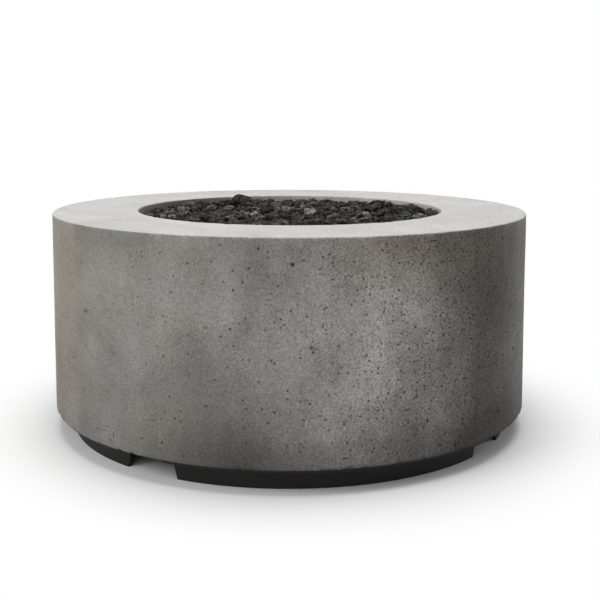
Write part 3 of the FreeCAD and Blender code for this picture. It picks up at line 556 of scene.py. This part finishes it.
def metal_material(metal):
    """Bare metal with faint working marks, slight tarnish and a heat tint in the fire."""
    material, tree, place = new_material(metal.name)
    marks = noise_of(tree, place, scale=MARK_SCALE, detail=4.0, roughness=0.6)
    tarnish = noise_of(tree, place, scale=TARNISH_SCALE, detail=5.0, roughness=0.6)
    colour = mixed(tree, ranged(tree, tarnish, *TARNISH_SPAN), metal.light, metal.dark)
    height = add(tree, "SeparateXYZ", {"Vector": place}).outputs["Z"]
    colour = mixed(tree, ranged(tree, height, HEAT_LOW_Z, HEAT_HIGH_Z), colour, HEAT_TINT)
    smoothest = metal.roughness * SMOOTHEST_SHARE
    roughest = metal.roughness * ROUGHEST_SHARE
    finish_material(tree, {
        "Base Color": colour,
        "Metallic": 1.0,
        "Roughness": ranged(tree, marks, *MARK_SPAN, smoothest, roughest),
        "Normal": bump_of(tree, marks, distance=0.00006, strength=0.5),
    })
    return material


def rubber_material():
    material, tree, place = new_material("seal_rubber")
    grain = noise_of(tree, place, scale=900.0, detail=3.0, roughness=0.6)
    finish_material(tree, {
        "Base Color": ramp(tree, grain, RUBBER_COLOURS),
        "Roughness": ranged(tree, grain, *NOISE_SPAN, *RUBBER_ROUGHNESS),
        "Normal": bump_of(tree, grain, distance=0.00005, strength=0.5),
    })
    return material


def new_object(name, points, faces, material, **values):
    """Smooth mesh object with outward normals, no stray points and named values on its points."""
    mesh = bpy.data.meshes.new(name)
    mesh.from_pydata([tuple(point) for point in points], [], faces)
    mesh.materials.append(material)
    for key, numbers in values.items():
        layer = mesh.attributes.new(key, "FLOAT", "POINT")
        layer.data.foreach_set("value", np.asarray(numbers, dtype=np.float32))
    work = bmesh.new()
    work.from_mesh(mesh)
    bmesh.ops.delete(work, geom=[vertex for vertex in work.verts if not vertex.link_faces], context="VERTS")
    bmesh.ops.recalc_face_normals(work, faces=work.faces)
    work.to_mesh(mesh)
    work.free()
    mesh.shade_smooth()
    piece = bpy.data.objects.new(name, mesh)
    bpy.context.scene.collection.objects.link(piece)
    return piece


def loose_parts(node):
    """Points and triangles of each separate solid in a CAD node, in a steady order."""
    work = bmesh.new()
    work.from_mesh(frame["nodes"][node].data)
    bmesh.ops.remove_doubles(work, verts=work.verts, dist=WELD_DISTANCE)
    bmesh.ops.triangulate(work, faces=work.faces)
    work.verts.index_update()
    work.faces.index_update()
    left = set(work.verts)
    parts = []
    while left:
        waiting = [left.pop()]
        group = set(waiting)
        while waiting:
            vertex = waiting.pop()
            for edge in vertex.link_edges:
                other = edge.other_vert(vertex)
                if other not in group:
                    group.add(other)
                    waiting.append(other)
        left -= group
        members = sorted(group, key=lambda vertex: vertex.index)
        number = {vertex: k for k, vertex in enumerate(members)}
        touching = {face for vertex in members for face in vertex.link_faces}
        triangles = sorted(touching, key=lambda face: face.index)
        points = np.array([vertex.co for vertex in members])
        faces = np.array([[number[vertex] for vertex in face.verts] for face in triangles])
        parts.append((points, faces))
    work.free()
    parts.sort(key=lambda part: tuple(part[0].mean(axis=0)))
    return parts


def quarter_round(middle_radius, middle_z, size, start, end, steps):
    """Points of an arc in the section, from one angle to another in degrees."""
    turns = np.radians(np.linspace(start, end, steps + 1))
    return [(middle_radius + size * math.cos(turn), middle_z + size * math.sin(turn)) for turn in turns]


def straight(start, end, steps):
    """Points between two ends of a section line, without the ends."""
    (radius, height), (end_radius, end_height) = start, end
    shares = np.linspace(0.0, 1.0, steps + 1)[1:-1]
    return [
        (radius + (end_radius - radius) * share, height + (end_height - height) * share) for share in shares]


class ShellGrid:
    """The concrete shell as rows of points round the axis, with small casting holes cut into its cells."""

    TURNS = 576
    WALL_ROWS = 84
    TOP_ROWS = 22
    EDGE_ROWS = 4
    INNER_ROWS = 6

    def __init__(self, chance):
        self.chance = chance
        section, self.wall_rows, self.top_rows = self.section()
        self.rows = len(section)
        turns = np.arange(self.TURNS) * (2 * math.pi / self.TURNS)
        radius = np.array([point[0] for point in section])[:, None]
        height = np.array([point[1] for point in section])[:, None]
        grid = np.stack([
            radius * np.sin(turns), -radius * np.cos(turns), height + 0.0 * turns,
        ], axis=2)
        self.points = list(map(Vector, grid.reshape(-1, 3)))
        self.hollow = [0.0] * len(self.points)
        self.taken = set()
        self.faces = []

    def section(self):
        """Closed outline in (radius, height), from the foot's outer edge over the rim and back inside."""
        ledge_radius = OPENING_RADIUS - LEDGE_WIDTH
        ledge_z = RIM_Z - LEDGE_DEPTH
        collar_radius = OPENING_RADIUS + COLLAR_WIDTH
        collar_z = ledge_z - LEDGE_THICKNESS
        slab_z = RIM_Z - SLAB_THICKNESS
        core_foot = FOOT_RADIUS - WALL_THICKNESS
        core_top = core_foot - (slab_z - FOOT_Z) * math.tan(CORE_DRAFT)
        outline = quarter_round(
            FOOT_RADIUS - FOOT_ROUND, FOOT_Z + FOOT_ROUND, FOOT_ROUND, -90, 0, self.EDGE_ROWS)
        rim = quarter_round(RIM_RADIUS - RIM_ROUND, RIM_Z - RIM_ROUND, RIM_ROUND, 0, 90, self.EDGE_ROWS)
        opening = quarter_round(
            OPENING_RADIUS + OPENING_ROUND, RIM_Z - OPENING_ROUND, OPENING_ROUND, 90, 180, self.EDGE_ROWS)
        wall_start = len(outline) - 1
        outline += straight(outline[-1], rim[0], self.WALL_ROWS)
        wall_rows = range(wall_start, len(outline))
        outline += rim
        top_start = len(outline) - 1
        outline += straight(rim[-1], opening[0], self.TOP_ROWS)
        top_rows = range(top_start, len(outline))
        outline += opening
        corner = (OPENING_RADIUS, ledge_z)
        outline += straight(opening[-1], corner, self.INNER_ROWS)
        outline += [corner, (ledge_radius, ledge_z), (ledge_radius, collar_z)]
        outline += [(collar_radius, collar_z), (collar_radius, slab_z)]
        core = quarter_round(
            core_top - CORE_ROUND, slab_z - CORE_ROUND, CORE_ROUND, 90, 0, self.INNER_ROWS)
        outline += core
        foot = (core_foot, FOOT_Z)
        outline += straight(core[-1], foot, self.INNER_ROWS)
        outline += [foot]
        return outline, wall_rows, top_rows

    def index(self, row, turn):
        return (row % self.rows) * self.TURNS + turn % self.TURNS

    def corners(self, row, turn, size):
        """Four corners of a block of cells."""
        return [
            self.index(row, turn), self.index(row, turn + size),
            self.index(row + size, turn + size), self.index(row + size, turn),
        ]

    def border(self, row, turn, size):
        """All border points of a block of cells, in order round it."""
        if size == 1:
            return self.corners(row, turn, 1)
        return [
            self.index(row, turn), self.index(row, turn + 1), self.index(row, turn + 2),
            self.index(row + 1, turn + 2), self.index(row + 2, turn + 2), self.index(row + 2, turn + 1),
            self.index(row + 2, turn), self.index(row + 1, turn),
        ]

    def cut_hole(self, row, turn, size, width, depth):
        """Replaces a block of cells by an eight-sided casting hole, unless another is there."""
        cells = {(row + i, (turn + j) % self.TURNS) for i in range(size) for j in range(size)}
        if cells & self.taken:
            return
        self.taken |= cells
        low, right, far, left = (self.points[k] for k in self.corners(row, turn, size))
        across = (right - low + far - left) / 2
        along = (left - low + far - right) / 2
        middle = (low + right + far + left) / 4
        inward = -self.outward(row, middle)
        squeezed = self.chance.uniform(*HOLE_SQUEEZE)
        if self.chance.uniform() < UPRIGHT_HOLES:
            across = across * squeezed
        else:
            along = along * squeezed
        # Strength of the painted shade on this hole's floor
        hole_shade_strength = self.chance.uniform(*HOLE_SHADE_STRENGTHS)
        rim = []
        floor = []
        for k in range(HOLE_SIDES):
            turned = math.radians(HOLE_START + 360 / HOLE_SIDES * k)
            reach = width / 2 * self.chance.uniform(*HOLE_REACH_SHARES)
            offset = across * (math.cos(turned) * reach) + along * (math.sin(turned) * reach)
            sunk = inward * depth * self.chance.uniform(*HOLE_DEPTH_SHARES)
            rim.append(self.keep(middle + offset, HOLE_RIM_SHADE_SHARE * hole_shade_strength))
            floor.append(self.keep(middle + offset * HOLE_FLOOR_SHARE + sunk, hole_shade_strength))
        self.join_hole(self.border(row, turn, size), rim, floor)

    def join_hole(self, border, rim, floor):
        """Faces from a block's border to a hole's rim, down its side and over its floor."""
        afters = [(k + 1) % HOLE_SIDES for k in range(HOLE_SIDES)]
        if len(border) == HOLE_SIDES:
            for k, after in enumerate(afters):
                self.faces.append([border[k], border[after], rim[after], rim[k]])
        else:
            for k in range(len(border)):
                first = 2 * k
                self.faces.append([
                    border[k], border[(k + 1) % len(border)], rim[(first + 2) % HOLE_SIDES], rim[first + 1],
                    rim[first],
                ])
        for k, after in enumerate(afters):
            self.faces.append([rim[k], rim[after], floor[after], floor[k]])
        self.faces.append(floor)

    def outward(self, row, middle):
        """Direction out of the concrete on the wall or the top."""
        if row in self.top_rows:
            return Vector((0, 0, 1))
        return Vector((middle.x, middle.y, 0)).normalized()

    def keep(self, point, hollow):
        """Adds a point with the painted shade of its hole, and gives its number."""
        self.points.append(point)
        self.hollow.append(hollow)
        return len(self.points) - 1

    def turn_at(self, azimuth):
        return round(azimuth / 360 * self.TURNS) % self.TURNS

    def wall_row_at(self, height):
        share = (height - FOOT_Z) / (RIM_Z - FOOT_Z)
        return self.wall_rows.start + round(share * self.WALL_ROWS)

    def top_row_at(self, radius):
        share = (RIM_RADIUS - radius) / (RIM_RADIUS - OPENING_RADIUS)
        return self.top_rows.start + round(share * self.TOP_ROWS)

    def hole_at(self, row, azimuth, width, depth):
        """Casting hole of a given width, in one cell or in a block of four."""
        cell = 2 * math.pi * RIM_RADIUS / self.TURNS
        size = 1 if width < cell else 2
        self.cut_hole(row, self.turn_at(azimuth), size, width / (cell * size), depth)

    def scatter(self, rows, holes):
        """Casting holes at random places, all round or mostly on the porous side."""
        for _ in range(holes.count):
            row = int(self.chance.integers(rows.start + 1, rows.stop - holes.cells - 1))
            spread = self.chance.normal(POROUS_MIDDLE, POROUS_HALF_WIDTH / 2)
            turn = self.turn_at(spread if holes.porous else self.chance.uniform(0, 360))
            width = self.chance.uniform(*holes.widths)
            depth = self.chance.uniform(*holes.depths)
            self.cut_hole(row, turn, holes.cells, width, depth)

    def close(self):
        """Adds the cells that no hole has taken."""
        for row in range(self.rows):
            for turn in range(self.TURNS):
                if (row, turn) not in self.taken:
                    self.faces.append(self.corners(row, turn, 1))


def edge_share(point, radius, height, reach):
    """One at a round edge of the shell, falling to nothing at a distance from it."""
    away = math.hypot(math.hypot(point.x, point.y) - radius, point.z - height)
    return max(0.0, 1 - away / reach)


def roughen(points):
    """Slight waviness of the cast faces, and nicks along the rim, the foot and the opening."""
    for point in points:
        outward = Vector((point.x, point.y, 0)).normalized()
        wave = sum(noise.noise(point * scale) * height for scale, height in WAVES)
        point += outward * wave
        near_rim = edge_share(point, RIM_RADIUS, RIM_Z, RIM_NICKS.reach)
        near_foot = edge_share(point, FOOT_RADIUS, FOOT_Z, FOOT_NICKS.reach)
        near_opening = edge_share(point, OPENING_RADIUS, RIM_Z, OPENING_NICKS.reach)
        nick = max(0.0, noise.noise(point * NICK_SCALE + NICK_PLACE) - NICK_LEAST)
        depth = nick * (RIM_NICKS.depth * near_rim + FOOT_NICKS.depth * near_foot)
        point -= outward * depth
        point.z += depth * (near_foot - near_rim)
        point.z -= nick * OPENING_NICKS.depth * near_opening


def round_bar(start, end, radius):
    """Round bar between two points, to cut a hole with."""
    along = (end - start).normalized()
    across = along.orthogonal().normalized()
    beside = along.cross(across)
    turns = [2 * math.pi * k / BAR_SIDES for k in range(BAR_SIDES)]
    ring = [across * (radius * math.cos(turn)) + beside * (radius * math.sin(turn)) for turn in turns]
    points = [start + offset for offset in ring] + [end + offset for offset in ring]
    faces = [list(range(BAR_SIDES)), list(range(BAR_SIDES, 2 * BAR_SIDES))]
    for k in range(BAR_SIDES):
        after = (k + 1) % BAR_SIDES
        faces.append([k, after, BAR_SIDES + after, BAR_SIDES + k])
    return new_object("cutter", points, faces, bpy.data.materials["concrete"])


def valve_bar(radius, start_y, end_y):
    return round_bar(Vector((0, start_y, VALVE_Z)), Vector((0, end_y, VALVE_Z)), radius)


def insert_bars():
    """Bars for the holes that hold the base's threaded inserts."""
    bars = []
    for points, _ in loose_parts("base_inserts"):
        low, high = points.min(axis=0), points.max(axis=0)
        middle = (low + high) / 2
        radius = (high[0] - low[0]) / 2 + INSERT_CLEARANCE
        start = Vector((middle[0], middle[1], FOOT_Z - INSERT_CUT_START))
        end = Vector((middle[0], middle[1], high[2] + INSERT_CLEARANCE))
        bars.append(round_bar(start, end, radius))
    return bars


def cut_away(piece, cutters):
    """Takes the cutters' space out of a piece and removes them."""
    for cutter in cutters:
        modifier = piece.modifiers.new("cut", "BOOLEAN")
        modifier.operation = "DIFFERENCE"
        modifier.solver = "EXACT"
        modifier.object = cutter
    evaluated = piece.evaluated_get(bpy.context.evaluated_depsgraph_get())
    mesh = bpy.data.meshes.new_from_object(evaluated)
    piece.modifiers.clear()
    piece.data = mesh
    for cutter in cutters:
        bpy.data.objects.remove(cutter)


def drift_of(points, place):
    """Random drift at each point, from the noise round a place."""
    return np.array([noise.noise(Vector(point) * DRIFT_SCALE + place) for point in points])


def turned_from(azimuth, middle):
    """Angle in degrees from a middle azimuth, within half a turn each way."""
    return (azimuth - middle + 180) % 360 - 180


def stains_and_painted_light_at(points):
    """Change of the concrete's tone, warmth and grain at each point: its stains and painted light and shade
    on the wall, painted light on its top, and a painted shadow in the opening.
    """
    drift_across, drift_up = (drift_of(points, place) for place in DRIFT_PLACES)
    azimuth = np.degrees(np.arctan2(points[:, 0], -points[:, 1])) + PATCH_DRIFT_DEGREES * drift_across
    height = points[:, 2] + PATCH_DRIFT * drift_up
    tone = np.zeros(len(points))
    warmth = np.zeros(len(points))
    for stain_and_painted_light in STAINS_AND_PAINTED_LIGHT:
        across = turned_from(azimuth, stain_and_painted_light.azimuth) / stain_and_painted_light.half_width
        up = (height - stain_and_painted_light.height) / stain_and_painted_light.half_height
        share = np.exp(-across ** 2 - up ** 2)
        tone += stain_and_painted_light.tone * share
        warmth += stain_and_painted_light.warmth * share
    on_top = points[:, 2] > RIM_Z - RIM_ROUND / 2
    # Painted light and sheen on the top
    tone[on_top] = TOP_PAINTED_LIGHT
    warmth[on_top] = 0.0
    in_opening = (np.hypot(points[:, 0], points[:, 1]) < OPENING_RADIUS + OPENING_ROUND / 2) & ~on_top
    # Painted shadow on the opening's wall, darkest at one azimuth
    beside = turned_from(azimuth[in_opening], OPENING_SHADOW_AZIMUTH)
    tone[in_opening] = OPENING_PALER + OPENING_SHADOW_DARKEST * np.exp(-(beside / OPENING_SHADOW_HALF_WIDTH) ** 2)
    around = turned_from(azimuth, POROUS_MIDDLE)
    coarse = np.where(on_top, 0.0, np.exp(-(around / POROUS_HALF_WIDTH) ** 2))
    return {"stain_and_painted_light": tone, "warmth": warmth, "coarse": coarse, "trowelled": on_top.astype(float)}


def concrete_shell(material):
    """The shell with its casting holes, its valve recess and its holes for the base's inserts."""
    grid = ShellGrid(np.random.default_rng(SHELL_SEED))
    for hole in SEEN_HOLES:
        depth = SEEN_HOLE_DEPTH_SHARE * hole.width
        grid.hole_at(grid.wall_row_at(hole.height), hole.azimuth, hole.width, depth)
    grid.hole_at(grid.top_row_at(TOP_HOLE_RADIUS), TOP_HOLE_AZIMUTH, TOP_HOLE_WIDTH, TOP_HOLE_DEPTH)
    for holes in WALL_SCATTERS:
        grid.scatter(grid.wall_rows, holes)
    grid.scatter(grid.top_rows, TOP_SCATTER)
    grid.close()
    roughen(grid.points)
    values = stains_and_painted_light_at(np.array(grid.points))
    shell = new_object("cast_shell", grid.points, grid.faces, material, hollow=grid.hollow, **values)
    outside = RECESS_Y + WALL_THICKNESS
    inside = INNER_SEAT_Y - WALL_THICKNESS
    valve_bars = [
        valve_bar(RECESS_RADIUS, RECESS_Y, outside),
        valve_bar(PASSAGE_RADIUS, inside, outside),
        valve_bar(INNER_SEAT_RADIUS, inside, INNER_SEAT_Y),
    ]
    cut_away(shell, valve_bars + insert_bars())
    shell.data.shade_smooth()
    shell.data.set_sharp_from_angle(angle=SHELL_SHARP_ANGLE)
    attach(shell, "bowl")
    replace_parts(shell, "concrete_shell")


def stone_planes():
    """Middle and face planes of each loose stone in the CAD node."""
    stones = []
    for points, faces in loose_parts("lava_rocks"):
        middle = points.mean(axis=0)
        first, second, third = (points[faces[:, k]] for k in range(3))
        normals = np.cross(second - first, third - first)
        sizes = np.linalg.norm(normals, axis=1)
        whole = sizes > LEAST_FACE
        normals = normals[whole] / sizes[whole, None]
        reach = np.einsum("ij,ij->i", normals, first[whole] - middle)
        normals *= np.sign(reach)[:, None]
        planes = np.column_stack([normals, np.abs(reach)])
        stones.append((middle, np.unique(np.round(planes, PLANE_DIGITS), axis=0)))
    return stones


def ball(subdivisions):
    """Directions and triangles of an even ball."""
    work = bmesh.new()
    bmesh.ops.create_icosphere(work, subdivisions=subdivisions, radius=1.0)
    directions = np.array([vertex.co.normalized() for vertex in work.verts])
    faces = np.array([[vertex.index for vertex in face.verts] for face in work.faces])
    work.free()
    return directions, faces


def facet_tones(middle, planes):
    """Tone of each face of a stone, round one."""
    shift = Vector(middle) * STONE_TONE_SCALE
    return np.array([
        1 + FACET_CONTRAST * noise.noise(Vector(plane[:3]) * FACET_TONE_SCALE + shift) for plane in planes])


def skin_of(point):
    """Height of the rough skin at a point: lumps, less the pits."""
    place = Vector(point)
    lumps = noise.fractal(place * LUMP_SCALE, LUMP_ROUGHNESS, LUMP_LACUNARITY, LUMP_OCTAVES)
    skin = LUMP_DEPTH * lumps
    for pits in STONE_PITS:
        nearest = noise.voronoi(place * pits.scale)[0][0]
        skin -= pits.depth * max(0.0, pits.width - nearest)
    return skin


def crevice_shade_of(heights):
    """Painted crevice shade on a stone's skin, darkest on its lower side and gone at its top."""
    share = (heights - heights.min()) / np.ptp(heights)
    share = np.clip((share - CREVICE_SHADE_FULL_SHARE) / (CREVICE_SHADE_END_SHARE - CREVICE_SHADE_FULL_SHARE), 0.0, 1.0)
    return CREVICE_SHADE_TONE + (1 - CREVICE_SHADE_TONE) * share


def rough_stone(middle, planes, shape, tint):
    """Part of a piece: a faceted stone with worn edges, pits, a rough skin and painted crevice shade."""
    directions, faces = shape
    share = np.maximum(directions @ planes[:, :3].T, 0.0) / np.maximum(planes[:, 3], LEAST_FACET_REACH)
    tones = facet_tones(middle, planes)[np.argmax(share, axis=1)]
    reach = (share ** EDGE_SHARPNESS).sum(axis=1) ** (-1.0 / EDGE_SHARPNESS)
    points = middle + directions * reach[:, None]
    rough = np.array([skin_of(point) for point in points])
    points += directions * rough[:, None]
    # Each point's tone is its facet's tone times the painted crevice shade
    return StonePart(points, faces, tint, tones * crevice_shade_of(points[:, 2]))


def cracked_stone(middle, planes, chance):
    """Middle and planes of the two halves of a stone that has cracked near its middle."""
    turn = chance.uniform(0, 2 * math.pi)
    across = np.array([math.cos(turn), math.sin(turn), chance.uniform(-CRACK_LEAN, CRACK_LEAN)])
    across /= np.linalg.norm(across)
    halves = []
    for side in (across, -across):
        facing = planes[:, :3] @ side
        ahead = facing > LEAST_FACING
        reach = (planes[ahead, 3] / facing[ahead]).min()
        shift = side * (CRACK_PLACE * reach)
        outer = np.column_stack([planes[:, :3], planes[:, 3] - planes[:, :3] @ shift])
        crack = [*-side, CRACK_PLACE * reach - CRACK_WIDTH / 2]
        halves.append((middle + shift, np.vstack([outer, crack])))
    return halves


def stone_piece(name, parts, material):
    """One mesh of many stones, each with its own tint."""
    points = np.concatenate([part.points for part in parts])
    starts = np.cumsum([0] + [len(part.points) for part in parts[:-1]])
    faces = np.concatenate([part.faces + start for part, start in zip(parts, starts)])
    tints = np.concatenate([np.full(len(part.points), part.tint) for part in parts])
    tones = np.concatenate([part.tones for part in parts])
    piece = new_object(name, points, faces.tolist(), material, tint=tints, tone=tones)
    piece.data.set_sharp_from_angle(angle=STONE_SHARP_ANGLE)
    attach(piece, "bowl")
    return piece


def lava_rocks(stones, material):
    """The loose stones of the top layer with their rough skin, some of them cracked, as three pieces."""
    chance = np.random.default_rng(STONE_SEED)
    numbers = range(len(stones))
    tints = np.minimum(LEAST_TINT + np.abs(chance.normal(0.0, TINT_SPREAD, len(stones))), MOST_TINT)
    tints[min(numbers, key=lambda k: math.dist(stones[k][0][:2], RED_STONE))] = RED_TINT
    tints[max(numbers, key=lambda k: stones[k][0][2])] = PROUD_TINT
    whole_shape = ball(WHOLE_STONE_DETAIL)
    half_shape = ball(BROKEN_STONE_DETAIL)
    parts = []
    for stone, tint in zip(stones, tints):
        cracked = chance.uniform() < CRACKED_SHARE and tint not in (RED_TINT, PROUD_TINT)
        if cracked:
            parts += [rough_stone(*half, half_shape, tint) for half in cracked_stone(*stone, chance)]
        else:
            parts.append(rough_stone(*stone, whole_shape, tint))
    share = math.ceil(len(parts) / len(STONE_PIECES))
    for k, name in enumerate(STONE_PIECES):
        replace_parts(stone_piece(name, parts[k * share:(k + 1) * share], material), "lava_rocks")


def height_at(stones, x, y):
    """Height of the highest stone at a place, or of the bed where no stone lies."""
    top = BED_TOP_Z
    for middle, planes in stones:
        if math.hypot(middle[0] - x, middle[1] - y) < STONE_REACH:
            left = planes[:, 3] - planes[:, :2] @ (x - middle[0], y - middle[1])
            up = planes[:, 2] > LEAST_RISE
            down = planes[:, 2] < -LEAST_RISE
            high = (left[up] / planes[up, 2]).min()
            low = (left[down] / planes[down, 2]).max()
            if low < high and (left[~up & ~down] > 0).all():
                top = max(top, middle[2] + high)
    return top


def chip_planes(chance, size):
    """Random face planes of a small stone."""
    normals = chance.normal(size=(CHIP_FACETS, 3))
    normals /= np.linalg.norm(normals, axis=1)[:, None]
    caps = np.vstack([normals, np.eye(3), -np.eye(3)])
    return np.column_stack([caps, size * chance.uniform(*CHIP_REACH_SHARES, len(caps))])


def bare_places(stones, chance):
    """Places where the pan's flange or the bed shows between the stones, well apart from each other."""
    places = []
    room = OPENING_RADIUS - BARE_WALL_ROOM
    for _ in range(BARE_TRIES):
        reach = room * math.sqrt(chance.uniform())
        turn = chance.uniform(0, 2 * math.pi)
        place = (reach * math.cos(turn), reach * math.sin(turn))
        apart = all(math.dist(place, other) > LARGEST_CHIP for other in places)
        if apart and height_at(stones, *place) == BED_TOP_Z:
            places.append(place)
    return places


def hollow_place(stones, chance):
    """Height and place of the lowest of a few random places."""
    reach = (OPENING_RADIUS - HOLLOW_WALL_ROOM) * np.sqrt(chance.uniform(size=HOLLOW_TRIES))
    turn = chance.uniform(0, 2 * math.pi, HOLLOW_TRIES)
    places = [(r * math.cos(t), r * math.sin(t)) for r, t in zip(reach, turn)]
    return min((height_at(stones, *place), *place) for place in places)


def lava_chips(stones, material):
    """Small broken stones on the bare places of the bed and in the hollows between the larger stones."""
    chance = np.random.default_rng(CHIP_SEED)
    shape = ball(BROKEN_STONE_DETAIL)
    parts = []
    for place in bare_places(stones, chance):
        size = LARGEST_CHIP * chance.uniform(*BARE_SIZE_SHARES)
        middle = np.array([*place, BED_TOP_Z + BARE_LIFT_SHARE * size])
        planes = chip_planes(chance, size)
        parts.append(rough_stone(middle, planes, shape, chance.uniform(*BARE_TINTS)))
    for _ in range(CHIPS_IN_HOLLOWS):
        size = chance.uniform(SMALLEST_CHIP, LARGEST_CHIP)
        height, x, y = hollow_place(stones, chance)
        if height + size < RIM_Z - CHIP_DROP:
            middle = np.array([x, y, height + HOLLOW_LIFT_SHARE * size])
            planes = chip_planes(chance, size)
            parts.append(rough_stone(middle, planes, shape, chance.uniform(*HOLLOW_TINTS)))
    stone_piece("lava_chips", parts, material)


def dress_nodes(lava):
    """Gives every CAD node that stays its material."""
    looks = {"black_steel": powder_coat_material()}
    looks.update((slot, metal_material(metal)) for slot, metal in METALS.items())
    # The lava's colour is scaled by a tone on the points that CAD nodes don't carry, so it renders black on
    # them: painted shade on the bed between the stones
    looks.update(seal_rubber=rubber_material(), lava=lava)
    for subpart in frame["record"]["subparts"]:
        look = looks.get(subpart["material_slot"])
        if look:
            mesh = frame["nodes"][subpart["node"]].data
            mesh.materials.clear()
            mesh.materials.append(look)


def backdrop_rays(tree):
    """One where a ray sees the white backdrop: straight from the camera, or by gloss or glass."""
    path = add(tree, "LightPath").outputs
    seen = maths(tree, "MAXIMUM", path["Is Camera Ray"], path["Is Glossy Ray"])
    return maths(tree, "MAXIMUM", seen, path["Is Transmission Ray"])


def stage_floor():
    """Pale floor that takes the bowl's shadow and turns to the backdrop's white further out."""
    mesh = bpy.data.meshes.new("floor")
    reach = FLOOR_REACH
    corners = [(-reach, -reach, 0), (reach, -reach, 0), (reach, reach, 0), (-reach, reach, 0)]
    mesh.from_pydata(corners, [], [(0, 1, 2, 3)])
    material, tree, place = new_material("floor")
    seen = backdrop_rays(tree)
    distance = add(tree, "VectorMath", {0: place}, operation="LENGTH").outputs["Value"]
    far = maths(tree, "MULTIPLY", seen, ranged(tree, distance, FLOOR_NEAR, FLOOR_FAR))
    lit = add(tree, "BsdfDiffuse", {"Color": mixed(tree, seen, FLOOR_BOUNCE, FLOOR_COLOUR)})
    white = add(tree, "Emission", {"Color": WHITE, "Strength": 1.0})
    surface = add(tree, "MixShader", {0: far, 1: lit.outputs["BSDF"], 2: white.outputs["Emission"]})
    add(tree, "OutputMaterial", {"Surface": surface.outputs["Shader"]})
    mesh.materials.append(material)
    floor = bpy.data.objects.new("floor", mesh)
    bpy.context.scene.collection.objects.link(floor)


def world_light():
    """White backdrop that lights the bowl much less than it shows."""
    world = bpy.data.worlds.new("studio")
    bpy.context.scene.world = world
    world.use_nodes = True
    tree = world.node_tree
    tree.nodes.clear()
    seen = backdrop_rays(tree)
    level = add(tree, "MapRange", {"Value": seen, 3: WORLD_STRENGTH, 4: 1.0}).outputs["Result"]
    sky = add(tree, "Background", {"Color": WHITE, "Strength": level})
    add(tree, "OutputWorld", {"Surface": sky.outputs["Background"]})


def from_camera(right, away, height):
    """Place given as seen by the camera: to its right, away from it and up, from the bowl's axis."""
    side = Vector((math.cos(CAMERA_AZIMUTH), math.sin(CAMERA_AZIMUTH), 0))
    ahead = Vector((-math.sin(CAMERA_AZIMUTH), math.cos(CAMERA_AZIMUTH), 0))
    return side * right + ahead * away + Vector((0, 0, height))


def area_lamp(lamp):
    light = bpy.data.lights.new(lamp.name, "AREA")
    light.shape = "DISK"
    light.size = lamp.width
    light.energy = lamp.power
    place = from_camera(lamp.right, lamp.away, lamp.height)
    holder = bpy.data.objects.new(lamp.name, light)
    holder.location = place
    holder.rotation_euler = (LAMP_TARGET - place).to_track_quat("-Z", "Y").to_euler()
    bpy.context.scene.collection.objects.link(holder)


def photo_camera():
    camera = bpy.data.cameras.new("camera")
    camera.sensor_fit = "HORIZONTAL"
    camera.sensor_width = SENSOR_WIDTH
    camera.lens = LENS
    holder = bpy.data.objects.new("camera", camera)
    holder.location = from_camera(0, -CAMERA_DISTANCE, CAMERA_HEIGHT)
    holder.rotation_mode = "XYZ"
    holder.rotation_euler = (math.pi / 2 - CAMERA_PITCH, 0, CAMERA_AZIMUTH - CAMERA_YAW)
    holder.rotation_euler.rotate_axis("Z", CAMERA_ROLL)
    bpy.context.scene.collection.objects.link(holder)
    bpy.context.scene.camera = holder


def main():
    concrete = concrete_material()
    lava = lava_material()
    dress_nodes(lava)
    concrete_shell(concrete)
    stones = stone_planes()
    lava_rocks(stones, lava)
    lava_chips(stones, lava)
    stage_floor()
    world_light()
    for lamp in LAMPS:
        area_lamp(lamp)
    photo_camera()
    bpy.context.scene.view_settings.view_transform = "Standard"


main()
